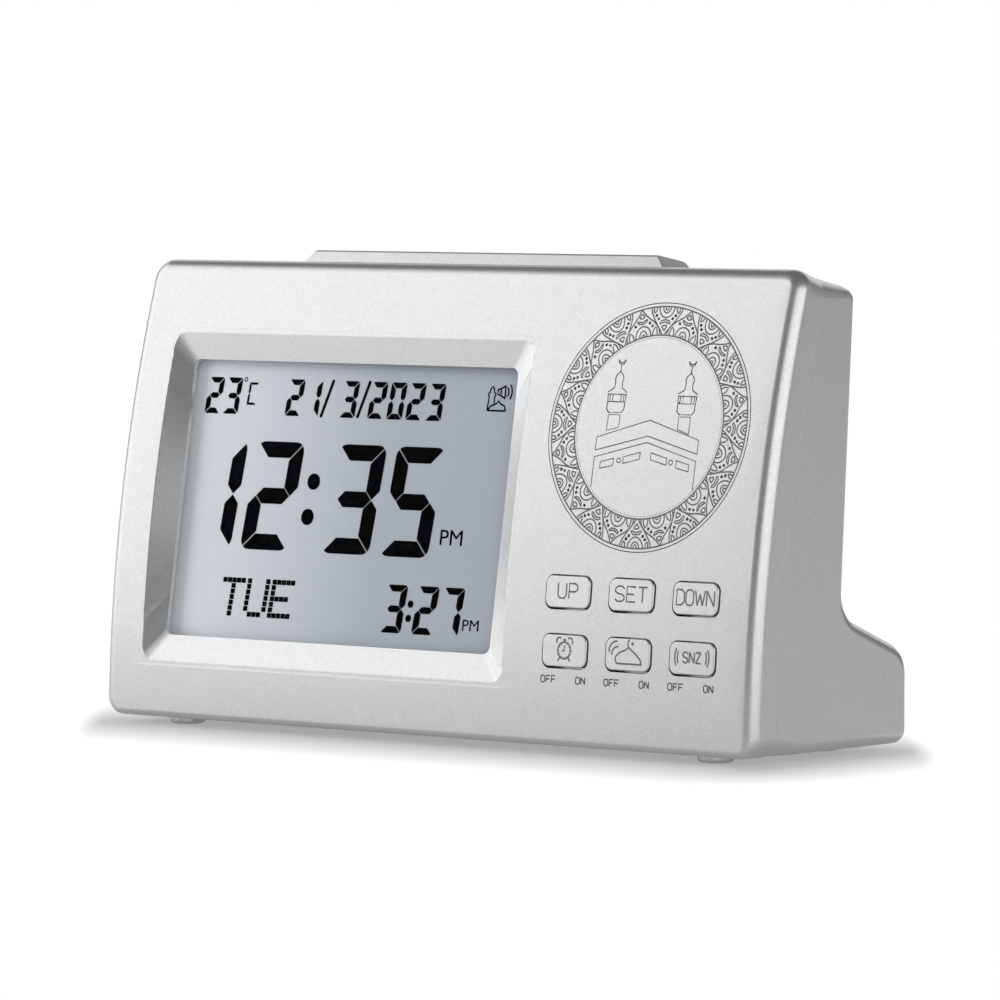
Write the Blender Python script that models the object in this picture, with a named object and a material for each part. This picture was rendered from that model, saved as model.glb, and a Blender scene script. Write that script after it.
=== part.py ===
"""Prayer-time table clock, built from its separate parts.

Metres, +Z up. X runs to the right of someone facing the clock, and the front faces -Y.
The origin is at the bottom centre, on the surface that the feet stand on.
A place in the case is given by its distance back from the face's foot edge and its height above the
underside.
A place on the curved face is given by X and by its distance up the face from the foot edge.
"""

import math

import bmesh
import bpy
from mathutils import Matrix, Vector

# Clearances shared by all pieces
seat_gap = 0.0003
overrun = 0.0010
fuse = 0.0004
weld = 0.000001

# Case outside
case_width = 0.1500
face_height = 0.0849
face_arc_radius = 0.2835
face_foot_lean = math.radians(1.2)
corner_round = 0.0040
edge_round = 0.0026
foot_edge_round = 0.0012
wall = 0.0020
face_wall = 0.0022
bezel_depth = 0.0059
seam_gap = 0.0003

# Rear case outline, seen from the side
top_slope = math.radians(14.5)
back_lean = math.radians(3.7)
block_slope = math.radians(21.2)
top_depth = 0.0090
top_back_round = 0.0024
shoulder_round = 0.0055
block_round = 0.0060
heel_round = 0.0026
case_end_round = 0.0022
round_blend_length = 0.0080

# Window and its sloping recess
window_width_share = 0.5093
window_left_border = 0.0093
window_low_border = 0.01035
window_top_border = 0.0143
recess_end_depth = 0.00095
window_corner = 0.0014
recess_side_border = 0.0043
recess_end_border = 0.0049
recess_corner = 0.0024
rim_thickness = 0.0009
rim_frame_margin = 0.0012
rim_frame_back = 0.0020
rim_frame_bite = 0.0006

# Window pane and the layers behind it, front to back
pane_sink = 0.00035
pane_side_gap = 0.0002
pane_flange = 0.0008
pane_margin = 0.0014
glass_thickness = 0.0011
glass_margin = 0.0018
contact_ledge = 0.0020
guide_thickness = 0.0022
guide_margin = 0.0015
guide_led_side = 0.0002
tray_wall = 0.0012
tray_floor = 0.0008
ear_thickness = 0.0015
ear_radius = 0.0021
upper_ear_share = 0.228
board_roof_gap = 0.0029
strip_thickness = 0.0016
strip_length = 0.0600
led_length = 0.0030
led_width = 0.0010
led_height = 0.0018
led_rise_share = 0.238
board_thickness = 0.0012
board_edge = 0.0003
chip_radius = 0.0065
chip_height = 0.0018
chip_rise_share = 0.173
part_spacing = 0.0169
part_edge = 0.0003
crystal_radius = 0.0010
crystal_length = 0.0062
thermistor_radius = 0.0011
thermistor_inset = 0.0033
cap_radius = 0.0025
cap_height = 0.0042

# Keys
keys_display_gap = 0.00075
keys_wall_gap = 0.00125
keys_rise_share = 0.2532
key_pitch_v_share = 0.1201
key_width_share = 0.693
key_height_share = 0.588
key_corner = 0.0014
key_proud = 0.0010
key_edge = 0.00045
key_gap = 0.00025
key_flange = 0.0008
key_flange_thickness = 0.0008
key_stem_radius = 0.0014
key_stem_length = 0.0006
key_travel = 0.0008
dome_height = 0.0016
dome_base_radius = 0.0026
dome_top_radius = 0.0017
mat_thickness = 0.0008
mat_margin = 0.0007
key_board_margin = 0.0002
key_boss_radius = 0.0018
key_boss_spread_margin = 0.0003

# Screws
boss_radius = 0.0030
boss_reach = 0.0030
case_screw_rise_shares = (0.424, 0.895)
case_screw_head = 0.0022
case_screw_head_height = 0.0018
case_screw_shank = 0.0011
case_screw_engagement = 0.0050
screw_head_gap = 0.0003
screw_floor = 0.0018
small_head_radius = 0.0017
small_head_height = 0.0011
small_shank_radius = 0.0008
small_engagement = 0.0030
thread_gap = 0.00015
drive_width = 0.0005
drive_depth = 0.0006
head_rim_share = 0.45
head_top_share = 0.72
drive_reach_share = 0.55
tip_share = 0.6

# Snooze and light bar
bar_seam_lead = 0.00295
bar_depth = 0.0076
bar_half_length = 0.0432
bar_rise = 0.0026
bar_front_lean = math.radians(27.0)
bar_top_slope = math.radians(11.8)
bar_chamfer_sink = 0.0014
bar_back_round = 0.0008
bar_gap = 0.00035
bar_flange_length = 0.0020
bar_flange_thickness = 0.0016
bar_flange_inset = 0.0006
bar_wall = 0.0014
bar_roof = 0.0022
bar_pad_half = 0.0030
bar_travel = 0.0012
bar_spring_share = 0.417
bar_spring_space = 0.0042
bar_spring_radius = 0.0019
bar_spring_wire = 0.00022
bar_spring_turns = 3.5
snooze_dome_radius = 0.0024
snooze_dome_top_radius = 0.0014
snooze_dome_foot = 0.0011
snooze_dome_shoulder = 0.0023
snooze_board_margin = 0.0042
snooze_board_inset = 0.0003
shelf_thickness = 0.0012
shelf_stop = 0.0012

# Cells and their bay
cell_radius = 0.0071
cell_length = 0.0495
cell_nub_radius = 0.0027
cell_nub_length = 0.0010
cell_edge = 0.0006
cell_gap = 0.00045
block_clearance = 0.0007
bay_wall = 0.0014
plate_thickness = 0.0004
plate_width = 0.0110
spring_length = 0.0032
spring_wire = 0.0003
spring_big_radius = 0.0042
spring_small_radius = 0.0026
spring_turns = 2.0

# Battery door
door_thickness = 0.0018
door_rear_inset = 0.0012
door_end_ledge = 0.0010
door_tab_x = 0.0150
door_tab_width = 0.0060
door_tab_thickness = 0.0010
door_tab_reach = 0.0020
door_tab_root = 0.0012
door_tab_room = 0.0030
latch_half_width = 0.0050
latch_height = 0.0016
latch_thickness = 0.0007
grip_half_width = 0.0060
grip_length = 0.0026
grip_depth = 0.0008
grip_inset = 0.0030
door_swing = math.radians(75.0)

# Feet
foot_height = 0.0015
foot_radius = 0.0032
foot_side_inset = 0.0140
foot_front = 0.0076
foot_rear_inset = 0.0075
foot_socket = 0.0012
foot_peg_radius = 0.0018
foot_peg_offset = 0.0012
foot_edge = 0.0005

# Speaker and grille
speaker_rise_share = 0.648
speaker_share = 0.742
speaker_flange = 0.0012
speaker_cup_top_share = 0.88
speaker_cup_share = 0.58
speaker_cup_depth = 0.0058
speaker_sheet = 0.0006
cone_share = 0.82
cone_neck_share = 0.33
cone_depth = 0.0034
cone_sheet = 0.0004
dust_cap_rise = 0.0014
magnet_share = 0.5
magnet_height = 0.0034
magnet_edge = 0.0004
speaker_rib = 0.0013
speaker_rib_height = 0.0016
speaker_screw_head = 0.0032
grille_hole_radius = 0.0010
grille_pitch_share = 0.2
grille_rings = 3

# Fineness of curved surfaces
flat_share = 0.00001
soft_edge_share = 0.3
recess_cutter_share = 1.5
smooth_angle = math.radians(32.0)
corner_steps = 5
fillet_steps = 9
dome_steps = 5
coil_steps = 9
hole_steps = 8
side_steps = 9
edge_steps = 4
lathe_steps = 24
small_lathe_steps = 16


# Places that follow from the sizes above

def face_arc(v, depth=0.0):
    """Distance back and height of a point on the face's curve, or depth behind it."""
    lean = face_foot_lean + v / face_arc_radius
    radius = face_arc_radius - depth
    back = face_arc_radius * math.cos(face_foot_lean) - radius * math.cos(lean)
    height = radius * math.sin(lean) - face_arc_radius * math.sin(face_foot_lean)
    return back, height


def face_lean(v):
    """Angle of the face from upright, at distance v up the face."""
    return face_foot_lean + v / face_arc_radius


def underside_v(depth):
    """How far up the face curve the flat underside lies, at a depth behind the face."""
    lean = math.asin(face_arc_radius * math.sin(face_foot_lean) / (face_arc_radius - depth))
    return face_arc_radius * (lean - face_foot_lean)


window_width = case_width * window_width_share
window_height = face_height - window_low_border - window_top_border - 2 * recess_end_border
window_x = -case_width / 2 + window_left_border + recess_side_border + window_width / 2
window_v = (face_height + window_low_border - window_top_border) / 2
window_lean = face_lean(window_v)
recess_end_arc = (window_height / 2 + recess_end_border) / face_arc_radius
window_depth = recess_end_depth + face_arc_radius * (1 - math.cos(recess_end_arc))

# Depths behind the window plane
pane_front = rim_thickness + seat_gap
pane_back = pane_front + pane_flange
glass_front = pane_back + seat_gap
glass_split = glass_front + glass_thickness
glass_back = glass_split + glass_thickness
guide_front = glass_back + seat_gap
guide_back = guide_front + guide_thickness
tray_front = rim_frame_back + seat_gap
tray_back = guide_back + seat_gap + tray_floor
main_board_front = tray_back + seat_gap
main_board_back = main_board_front + board_thickness

# Half sizes of the display layers
pane_half_x = window_width / 2 + pane_margin
pane_half_u = window_height / 2 + pane_margin
glass_half_x = window_width / 2 + glass_margin
glass_half_u = window_height / 2 + glass_margin
glass_top = glass_half_u + contact_ledge
tray_half_x = glass_half_x + seat_gap + tray_wall
tray_low = glass_half_u + seat_gap + tray_wall
tray_high = glass_top + seat_gap + tray_wall
ear_x = tray_half_x + ear_radius
upper_ear_rise = window_height * upper_ear_share
led_rise = window_height * led_rise_share
chip_rise = window_height * chip_rise_share
main_board_half_x = tray_half_x - tray_wall
main_board_high = glass_top

# The keys fill the space between the display and the side wall
key_board_left = window_x + ear_x + ear_radius + keys_display_gap
key_board_right = case_width / 2 - wall - keys_wall_gap
keys_x = (key_board_left + key_board_right) / 2
keys_v = face_height * keys_rise_share
key_lean = face_lean(keys_v)
key_board_half_x = (key_board_right - key_board_left) / 2
key_boss_x = key_board_half_x - key_boss_radius
mat_half_x = key_boss_x - key_boss_radius - key_boss_spread_margin
key_pitch_x = (mat_half_x - mat_margin - key_flange) / (1 + key_width_share / 2)
key_pitch_v = face_height * key_pitch_v_share
key_width = key_pitch_x * key_width_share
key_height = key_pitch_v * key_height_share
mat_half_y = (key_pitch_v + key_height) / 2 + key_flange + mat_margin
key_board_half_y = mat_half_y + key_board_margin

# Depths behind the face in the key stack
key_flange_front = face_wall + seat_gap
key_flange_back = key_flange_front + key_flange_thickness
key_stem_end = key_flange_back + key_stem_length
dome_top = key_stem_end + seat_gap
mat_front = dome_top + dome_height
mat_back = mat_front + mat_thickness
key_board_front = mat_back + seat_gap
key_board_back = key_board_front + board_thickness

# Heights in the base, above the underside; the main board ends above the bay's roof
cell_height = wall + cell_radius + seat_gap / 2
roof_low = cell_height + cell_radius + cell_gap
roof_high = roof_low + bay_wall
board_reach = face_arc(window_v, window_depth)[1] - main_board_back * math.sin(window_lean)
main_board_drop = (board_reach - roof_high - board_roof_gap) / math.cos(window_lean)
lower_ear_drop = main_board_drop - ear_radius - board_edge

# The bay stands behind the display tray, and the base ends behind the bay
tray_back_at_window = face_arc(window_v, window_depth + tray_back)
display_back = tray_back_at_window[0] + (roof_high - tray_back_at_window[1]) * math.tan(window_lean)
bay_front = display_back + seat_gap + bay_wall
cell_front_centre = bay_front + cell_gap + cell_radius
cell_rear_centre = cell_front_centre + 2 * cell_radius + cell_gap
bay_rear = cell_rear_centre + cell_radius + cell_gap
base_depth = bay_rear + wall

# The speaker is as wide as the keys' space allows
speaker_radius = key_board_half_x * speaker_share
speaker_cup_top_radius = speaker_radius * speaker_cup_top_share
speaker_cup_radius = speaker_radius * speaker_cup_share
cone_radius = speaker_radius * cone_share
cone_neck_radius = speaker_radius * cone_neck_share
magnet_radius = speaker_radius * magnet_share
grille_pitch = speaker_radius * grille_pitch_share

counterbore_radius = case_screw_head + screw_head_gap

bay_half_length = (cell_length + spring_length + 2 * plate_thickness + 4 * seat_gap) / 2
opening_half_length = bay_half_length + door_end_ledge
opening_rear = bay_rear - door_rear_inset

front_y = -base_depth / 2
underside = foot_height


def place(x, back, height):
    """World point from X, the distance back from the front foot edge and the height above the underside."""
    return Vector((x, front_y + back, underside + height))


def face_point(x, v, depth=0.0):
    """World point on the face, or depth behind it."""
    back, height = face_arc(v, depth)
    return place(x, back, height)


def leaning_frame(origin, lean):
    """Local axes with +Z out of a plane that leans back by lean, +Y up it and +X to the right."""
    return Matrix.Translation(origin) @ Matrix.Rotation(math.pi / 2 - lean, 4, "X")


window_frame = leaning_frame(face_point(window_x, window_v, window_depth), window_lean)
key_frame = leaning_frame(face_point(keys_x, keys_v), key_lean)

# The rear case's top line runs from the seam down towards the back
seam_depth = bezel_depth + seam_gap
seam_top = face_arc(face_height, seam_depth)


def top_line(back):
    """Height of the case's top above the underside."""
    return seam_top[1] - (back - seam_top[0]) * math.tan(top_slope)


def top_wall_underside(back):
    """Height of the inner side of the case's top wall."""
    return top_line(back) - wall / math.cos(top_slope)


top_rear = seam_top[0] + top_depth
back_foot = top_rear - top_line(top_rear) * math.tan(back_lean)


def back_wall(height):
    """Distance back of the upper back wall's outer side."""
    return back_foot + height * math.tan(back_lean)


bar_front = seam_top[0] - bar_seam_lead
bar_back = bar_front + bar_depth
bar_spring_x = bar_half_length * bar_spring_share
snooze_board_half = bar_spring_x + snooze_board_margin
bar_bottom = top_wall_underside(bar_back) - seat_gap - bar_flange_thickness
snooze_board_top = bar_bottom - bar_spring_space
shelf_top = snooze_board_top - board_thickness - seat_gap


# Mesh helpers

def new_material(name, colour, roughness, metallic=0.0, alpha=1.0):
    material = bpy.data.materials.new(name)
    material.use_nodes = True
    shader = material.node_tree.nodes["Principled BSDF"]
    shader.inputs["Base Color"].default_value = (*colour, 1.0)
    shader.inputs["Roughness"].default_value = roughness
    shader.inputs["Metallic"].default_value = metallic
    shader.inputs["Alpha"].default_value = alpha
    material.diffuse_color = (*colour, alpha)
    return material


def finish_mesh(bm):
    """Closed body with its twisted faces split into triangles and all faces turned outwards."""
    bmesh.ops.triangulate(bm, faces=[face for face in bm.faces if not is_flat(face)])
    bmesh.ops.recalc_face_normals(bm, faces=bm.faces[:])
    return bm


def is_flat(face):
    """Whether a face's corners lie in one plane, to a small share of its size."""
    face.normal_update()
    start = face.verts[0].co
    size = max((v.co - start).length for v in face.verts)
    return all(abs((v.co - start).dot(face.normal)) < size * flat_share for v in face.verts)


def add_piece(name, bm, material=None, matrix=None):
    """Object made from a bmesh, placed by its matrix."""
    mesh = bpy.data.meshes.new(name)
    bm.to_mesh(mesh)
    bm.free()
    piece = bpy.data.objects.new(name, mesh)
    bpy.context.scene.collection.objects.link(piece)
    if matrix is not None:
        piece.matrix_world = matrix
    if material is not None:
        dress(piece, material)
    return piece


def put(name, data, matrix):
    """Piece that shares its form with others, placed by its matrix."""
    piece = bpy.data.objects.new(name, data)
    bpy.context.scene.collection.objects.link(piece)
    piece.matrix_world = matrix
    piece.parent = clock
    return piece


def dress(piece, material):
    """Piece with its material and with shading that is smooth up to an angle."""
    piece.data.materials.clear()
    piece.data.materials.append(material)
    piece.data.shade_smooth()
    piece.data.set_sharp_from_angle(angle=smooth_angle)
    piece.parent = clock
    return piece


def combine(target, tool, operation):
    """Target's mesh joined with, cut by or kept inside the tool, which is then removed."""
    bpy.context.view_layer.update()
    modifier = target.modifiers.new(operation.title(), "BOOLEAN")
    modifier.operation = operation
    modifier.solver = "EXACT"
    modifier.object = tool
    view = bpy.context.evaluated_depsgraph_get()
    result = bpy.data.meshes.new_from_object(target.evaluated_get(view))
    target.modifiers.remove(modifier)
    bm = bmesh.new()
    bm.from_mesh(result)
    bmesh.ops.remove_doubles(bm, verts=bm.verts[:], dist=weld)
    bm.to_mesh(result)
    bm.free()
    former = target.data
    target.data = result
    bpy.data.meshes.remove(former)
    bpy.data.objects.remove(tool)
    return target


def join_to(target, bm, matrix=None):
    return combine(target, add_piece("addition", bm, matrix=matrix), "UNION")


def cut_from(target, bm, matrix=None):
    return combine(target, add_piece("cutter", bm, matrix=matrix), "DIFFERENCE")


def add_ring(bm, points):
    return [bm.verts.new(p) for p in points]


def bridge(bm, first, second):
    """Band of quads between two rings of equal count."""
    for i in range(len(first)):
        j = (i + 1) % len(first)
        bm.faces.new((first[i], first[j], second[j], second[i]))


def strip_cap(bm, ring):
    """Cap for a ring whose second half mirrors its first, made of strips from one half to the other."""
    half = len(ring) // 2
    for i in range(half - 1):
        a, b = i, i + 1
        bm.faces.new((ring[a], ring[b], ring[-1 - b], ring[-1 - a]))


def loft(rings, cap="flat"):
    """Closed body through rings of points, capped flat or by strips."""
    bm = bmesh.new()
    made = [add_ring(bm, ring) for ring in rings]
    for first, second in zip(made, made[1:]):
        bridge(bm, first, second)
    for ring in (made[0], made[-1]):
        if cap == "strips":
            strip_cap(bm, ring)
        else:
            bm.faces.new(ring)
    return finish_mesh(bm)


def prism(outline, low, high):
    """Flat outline raised from low to high along local Z."""
    return loft([[(x, y, z) for x, y in outline] for z in (low, high)])


def rectangle(x_low, x_high, y_low, y_high):
    return [(x_low, y_low), (x_high, y_low), (x_high, y_high), (x_low, y_high)]


def box(x_low, x_high, y_low, y_high, z_low, z_high):
    return prism(rectangle(x_low, x_high, y_low, y_high), z_low, z_high)


def case_box(x_low, x_high, back_low, back_high, low, high):
    """Box given in the case's own measures."""
    start, end = place(x_low, back_low, low), place(x_high, back_high, high)
    return box(start.x, end.x, start.y, end.y, start.z, end.z)


def rounded_rectangle(half_x, half_y, radius, steps=corner_steps):
    """Outline with rounded corners about the local origin."""
    outline = []
    for quarter, (sx, sy) in enumerate(((1, 1), (-1, 1), (-1, -1), (1, -1))):
        for k in range(steps + 1):
            angle = math.pi / 2 * (quarter + k / steps)
            x = sx * (half_x - radius) + radius * math.cos(angle)
            y = sy * (half_y - radius) + radius * math.sin(angle)
            outline.append((x, y))
    return outline


def dome_profile(radius, height, crest):
    """Quarter ellipse for a lathe, from the axis out to its radius. Height is measured from the crest."""
    angles = [math.pi / 2 * k / dome_steps for k in range(dome_steps + 1)]
    return [(0, crest)] + [(radius * math.sin(a), crest + height * (1 - math.cos(a))) for a in angles[1:]]


def lathe(profile, steps=lathe_steps):
    """Body turned about local Z from points of radius and height.

    A profile that starts off the axis closes on itself and makes a ring.
    """
    bm = bmesh.new()
    rings = []
    for radius, height in profile:
        if radius == 0:
            rings.append([bm.verts.new((0, 0, height))])
            continue
        angles = [2 * math.pi * k / steps for k in range(steps)]
        rings.append([bm.verts.new((radius * math.cos(a), radius * math.sin(a), height)) for a in angles])
    pairs = list(zip(rings, rings[1:]))
    if profile[0][0] > 0:
        pairs.append((rings[-1], rings[0]))
    for first, second in pairs:
        if len(first) == 1 or len(second) == 1:
            tip, rim = (first[0], second) if len(first) == 1 else (second[0], first)
            for k in range(steps):
                bm.faces.new((tip, rim[k], rim[(k + 1) % steps]))
        else:
            bridge(bm, first, second)
    return finish_mesh(bm)


def cylinder(radius, low, high, steps=small_lathe_steps):
    circle = [(radius * math.cos(2 * math.pi * k / steps), radius * math.sin(2 * math.pi * k / steps))
              for k in range(steps)]
    return prism(circle, low, high)


def merged(parts):
    """Several separate bodies in one mesh, for use as one cutter."""
    whole = bmesh.new()
    for bm in parts:
        mesh = bpy.data.meshes.new("part")
        bm.to_mesh(mesh)
        bm.free()
        whole.from_mesh(mesh)
        bpy.data.meshes.remove(mesh)
    return whole


def moved(bm, matrix):
    bmesh.ops.transform(bm, matrix=matrix, verts=bm.verts[:])
    return bm


def shifted(bm, x=0.0, y=0.0, z=0.0):
    return moved(bm, Matrix.Translation((x, y, z)))


def rearward_axis(x, back, height):
    """Local axes whose +Z points straight back from a place in the case."""
    return Matrix.Translation(place(x, back, height)) @ Matrix.Rotation(-math.pi / 2, 4, "X")


# Outlines of the two shells

def half_outline(half_width, v_low, v_high, corner, steps_up=side_steps):
    """Right half of a rounded rectangle, bottom to top, each point with its outward direction."""
    points = []
    for k in range(corner_steps + 1):
        angle = math.pi / 2 * (k / corner_steps - 1)
        points.append((half_width - corner + corner * math.cos(angle),
                       v_low + corner + corner * math.sin(angle), math.cos(angle), math.sin(angle)))
    straight = v_high - v_low - 2 * corner
    for k in range(1, steps_up):
        points.append((half_width, v_low + corner + straight * k / steps_up, 1.0, 0.0))
    for k in range(corner_steps + 1):
        angle = math.pi / 2 * k / corner_steps
        points.append((half_width - corner + corner * math.cos(angle),
                       v_high - corner + corner * math.sin(angle), math.cos(angle), math.sin(angle)))
    return points


def mirrored_ring(half, centre_x=0.0):
    """Whole ring from its right half: up the right side and down the left."""
    right = [(centre_x + x, *rest) for x, *rest in half]
    left = [(centre_x - x, *rest) for x, *rest in reversed(half)]
    return right + left


def bezel_ring(outline, angle, depth=None):
    """Ring of the bezel's outside. Angle runs over the rounded front edge, from its side to its front."""
    half = []
    for x, v, nx, nv in outline:
        share = min(1.0, v / corner_round)
        radius = foot_edge_round + (edge_round - foot_edge_round) * share
        inset = radius * (1 - math.cos(angle)) if depth is None else 0.0
        behind = radius * (1 - math.sin(angle)) if depth is None else depth
        half.append((x - nx * inset, v - nv * inset + underside_v(behind) * (1 - v / face_height), behind))
    return [face_point(x, v, d) for x, v, d in mirrored_ring(half)]


def bezel_body():
    outline = half_outline(case_width / 2, 0.0, face_height, corner_round)
    rings = [bezel_ring(outline, 0.0, bezel_depth)]
    rings += [bezel_ring(outline, math.pi / 2 * k / edge_steps) for k in range(edge_steps + 1)]
    return loft(rings, cap="strips")


def bezel_cavity():
    half = half_outline(case_width / 2 - wall, wall, face_height - wall, corner_round - wall)
    rings = []
    for depth in (face_wall, bezel_depth + overrun):
        lift = underside_v(depth)
        rings.append([face_point(x, v + lift * (1 - v / face_height), depth)
                      for x, v, *_ in mirrored_ring(half)])
    return loft(rings, cap="strips")


def meeting(point, direction, other, other_direction):
    """Where two lines in the side view cross."""
    cross = direction[0] * other_direction[1] - direction[1] * other_direction[0]
    across = (other[0] - point[0]) * other_direction[1] - (other[1] - point[1]) * other_direction[0]
    return point[0] + direction[0] * across / cross, point[1] + direction[1] * across / cross


def fillet(corner, before, after, radius, steps=fillet_steps):
    """Arc that rounds a corner between two directions of travel, each point with its outward normal.

    The outline runs clockwise in the side view, so its outside lies to the left of travel.
    """
    cross = before[0] * after[1] - before[1] * after[0]
    turn = math.atan2(cross, before[0] * after[0] + before[1] * after[1])
    reach = radius * math.tan(abs(turn) / 2)
    start = (corner[0] - before[0] * reach, corner[1] - before[1] * reach)
    side = 1 if turn > 0 else -1
    centre = (start[0] - side * before[1] * radius, start[1] + side * before[0] * radius)
    points = []
    for k in range(steps + 1):
        angle = turn * k / steps
        dx, dz = (side * before[1] * radius, -side * before[0] * radius)
        x = centre[0] + dx * math.cos(angle) - dz * math.sin(angle)
        z = centre[1] + dx * math.sin(angle) + dz * math.cos(angle)
        heading = (before[0] * math.cos(angle) - before[1] * math.sin(angle),
                   before[0] * math.sin(angle) + before[1] * math.cos(angle))
        points.append(((x, z), (-heading[1], heading[0])))
    return points


def rear_chain():
    """Rear case's outline from the seam's top over the back to the seam's foot.

    Each entry is a point, its outward normal and the rounding of the case's end edge there.
    """
    along_top = (math.cos(top_slope), -math.sin(top_slope))
    down_back = (-math.sin(back_lean), -math.cos(back_lean))
    along_block = (math.cos(block_slope), -math.sin(block_slope))
    down = (0.0, -1.0)
    forward = (-1.0, 0.0)
    wall_foot = (back_foot, 0.0)
    reach = cell_radius + block_clearance + wall
    block_point = (cell_rear_centre + reach * math.sin(block_slope),
                   cell_height + reach * math.cos(block_slope))
    top_corner = meeting(seam_top, along_top, wall_foot, down_back)
    shoulder = meeting(wall_foot, down_back, block_point, along_block)
    block_corner = meeting(block_point, along_block, (base_depth, 0.0), down)
    heel = (base_depth, 0.0)
    chain = [(seam_top, (math.sin(top_slope), math.cos(top_slope)), corner_round)]
    top_end = fillet(top_corner, along_top, down_back, top_back_round)[0][0]
    for share in (1 / 3, 2 / 3):
        point = [a + (b - a) * share for a, b in zip(seam_top, top_end)]
        chain.append((point, chain[0][1], corner_round + (case_end_round - corner_round) * share))
    for corner, before, after, radius in ((top_corner, along_top, down_back, top_back_round),
                                          (shoulder, down_back, along_block, shoulder_round),
                                          (block_corner, along_block, down, block_round),
                                          (heel, down, forward, heel_round)):
        chain += [(point, normal, case_end_round) for point, normal in fillet(corner, before, after, radius)]
    seam_foot = face_arc(underside_v(seam_depth), seam_depth)
    chain.append(((seam_foot[0] + round_blend_length, 0.0), (0.0, -1.0), case_end_round))
    chain.append((seam_foot, (0.0, -1.0), corner_round))
    return chain


def case_ring(chain, side, angle, inset, front_depth):
    """Ring of the rear case's outline, inset by a wall, for one step of its rounded end edge."""
    ring = []
    for (back, height), normal, rounding in chain[1:-1]:
        radius = max(rounding - inset, fuse / 2)
        shift = inset + radius * (1 - math.cos(angle))
        x = side * (case_width / 2 - inset - radius * (1 - math.sin(angle)))
        ring.append(place(x, back - normal[0] * shift, height - normal[1] * shift))
    radius = max(corner_round - inset, fuse / 2)
    shift = inset + radius * (1 - math.cos(angle))
    x = side * (case_width / 2 - inset - radius * (1 - math.sin(angle)))
    low = underside_v(front_depth) + shift
    high = face_height - shift
    climb = [low + (high - low) * k / side_steps for k in range(side_steps + 1)]
    return ring + [face_point(x, v, front_depth) for v in climb]


def case_solid(inset, front_depth):
    """Rear case's outline as a solid, inset all round by a wall."""
    chain = rear_chain()
    rings = [case_ring(chain, -1, math.pi / 2 * k / edge_steps, inset, front_depth)
             for k in range(edge_steps, -1, -1)]
    rings += [case_ring(chain, 1, math.pi / 2 * k / edge_steps, inset, front_depth)
              for k in range(edge_steps + 1)]
    return loft(rings)


# Places of the screws

def case_screw_places():
    """X and distance up the face of each case screw."""
    x = case_width / 2 - wall - seat_gap - boss_radius
    return [(side * x, face_height * share) for share in case_screw_rise_shares for side in (-1, 1)]


def boss_meeting(v):
    """Distance back and height at which a case screw's two bosses meet."""
    back, height = face_arc(v, bezel_depth + boss_reach)
    return back, height


def display_ears():
    """Local X and Y of the ears that hold the display tray and main board."""
    return [(side * ear_x, y) for y in (upper_ear_rise, -lower_ear_drop) for side in (-1, 1)]


def key_places():
    """Names, X and distance up the face of the six keys, top row first."""
    names = (("up", "set", "down"), ("alarm", "prayer", "snooze_switch"))
    return [("key_" + names[row][column], keys_x + (column - 1) * key_pitch_x,
             keys_v + (1 - 2 * row) * key_pitch_v / 2) for row in range(2) for column in range(3)]

# The pieces

def make_front_bezel():
    """Curved front shell with its window recess, key holes, bosses and half of the bar's opening."""
    bezel = add_piece("front_bezel", bezel_body())
    cut_from(bezel, bezel_cavity())
    join_to(bezel, rim_frame_body(), window_frame)
    for x, v in case_screw_places():
        join_to(bezel, case_boss(x, v))
    ear_seat = -(tray_back - ear_thickness - seat_gap)
    for x, y in display_ears():
        join_to(bezel, shifted(cylinder(ear_radius, ear_seat, window_depth / 2), x, y), window_frame)
    key_seat = -(key_board_front - seat_gap)
    for side in (-1, 1):
        boss = cylinder(key_boss_radius, key_seat, -face_wall / 2)
        join_to(bezel, shifted(boss, side * key_boss_x), key_frame)
    cut_from(bezel, window_cutter(), window_frame)
    half_x, half_y = pane_half_x + seat_gap, pane_half_u + seat_gap
    cut_from(bezel, box(-half_x, half_x, -half_y, half_y, -rim_frame_back - overrun, -rim_thickness),
             window_frame)
    for _, x, v in key_places():
        hole = rounded_rectangle(key_width / 2 + key_gap, key_height / 2 + key_gap, key_corner + key_gap)
        cut_from(bezel, prism(hole, -face_wall - overrun, overrun),
                 leaning_frame(face_point(x, v), face_lean(v)))
    cut_from(bezel, merged([case_pilot(x, v) for x, v in case_screw_places()]))
    pilot = small_shank_radius + thread_gap
    depth = small_engagement + seat_gap
    cut_from(bezel, merged([shifted(cylinder(pilot, ear_seat - overrun, ear_seat + depth), x, y)
                            for x, y in display_ears()]), window_frame)
    cut_from(bezel, merged([shifted(cylinder(pilot, key_seat - overrun, key_seat + depth), side * key_boss_x)
                            for side in (-1, 1)]), key_frame)
    cut_from(bezel, bar_opening_cutter())
    return dress(bezel, silver)


def rim_frame_body():
    """Thicker frame inside the bezel, round the window."""
    half_x = window_width / 2 + recess_side_border + rim_frame_margin
    half_y = window_height / 2 + recess_end_border + rim_frame_margin
    return box(-half_x, half_x, -half_y, half_y, -rim_frame_back, rim_frame_bite)


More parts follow.
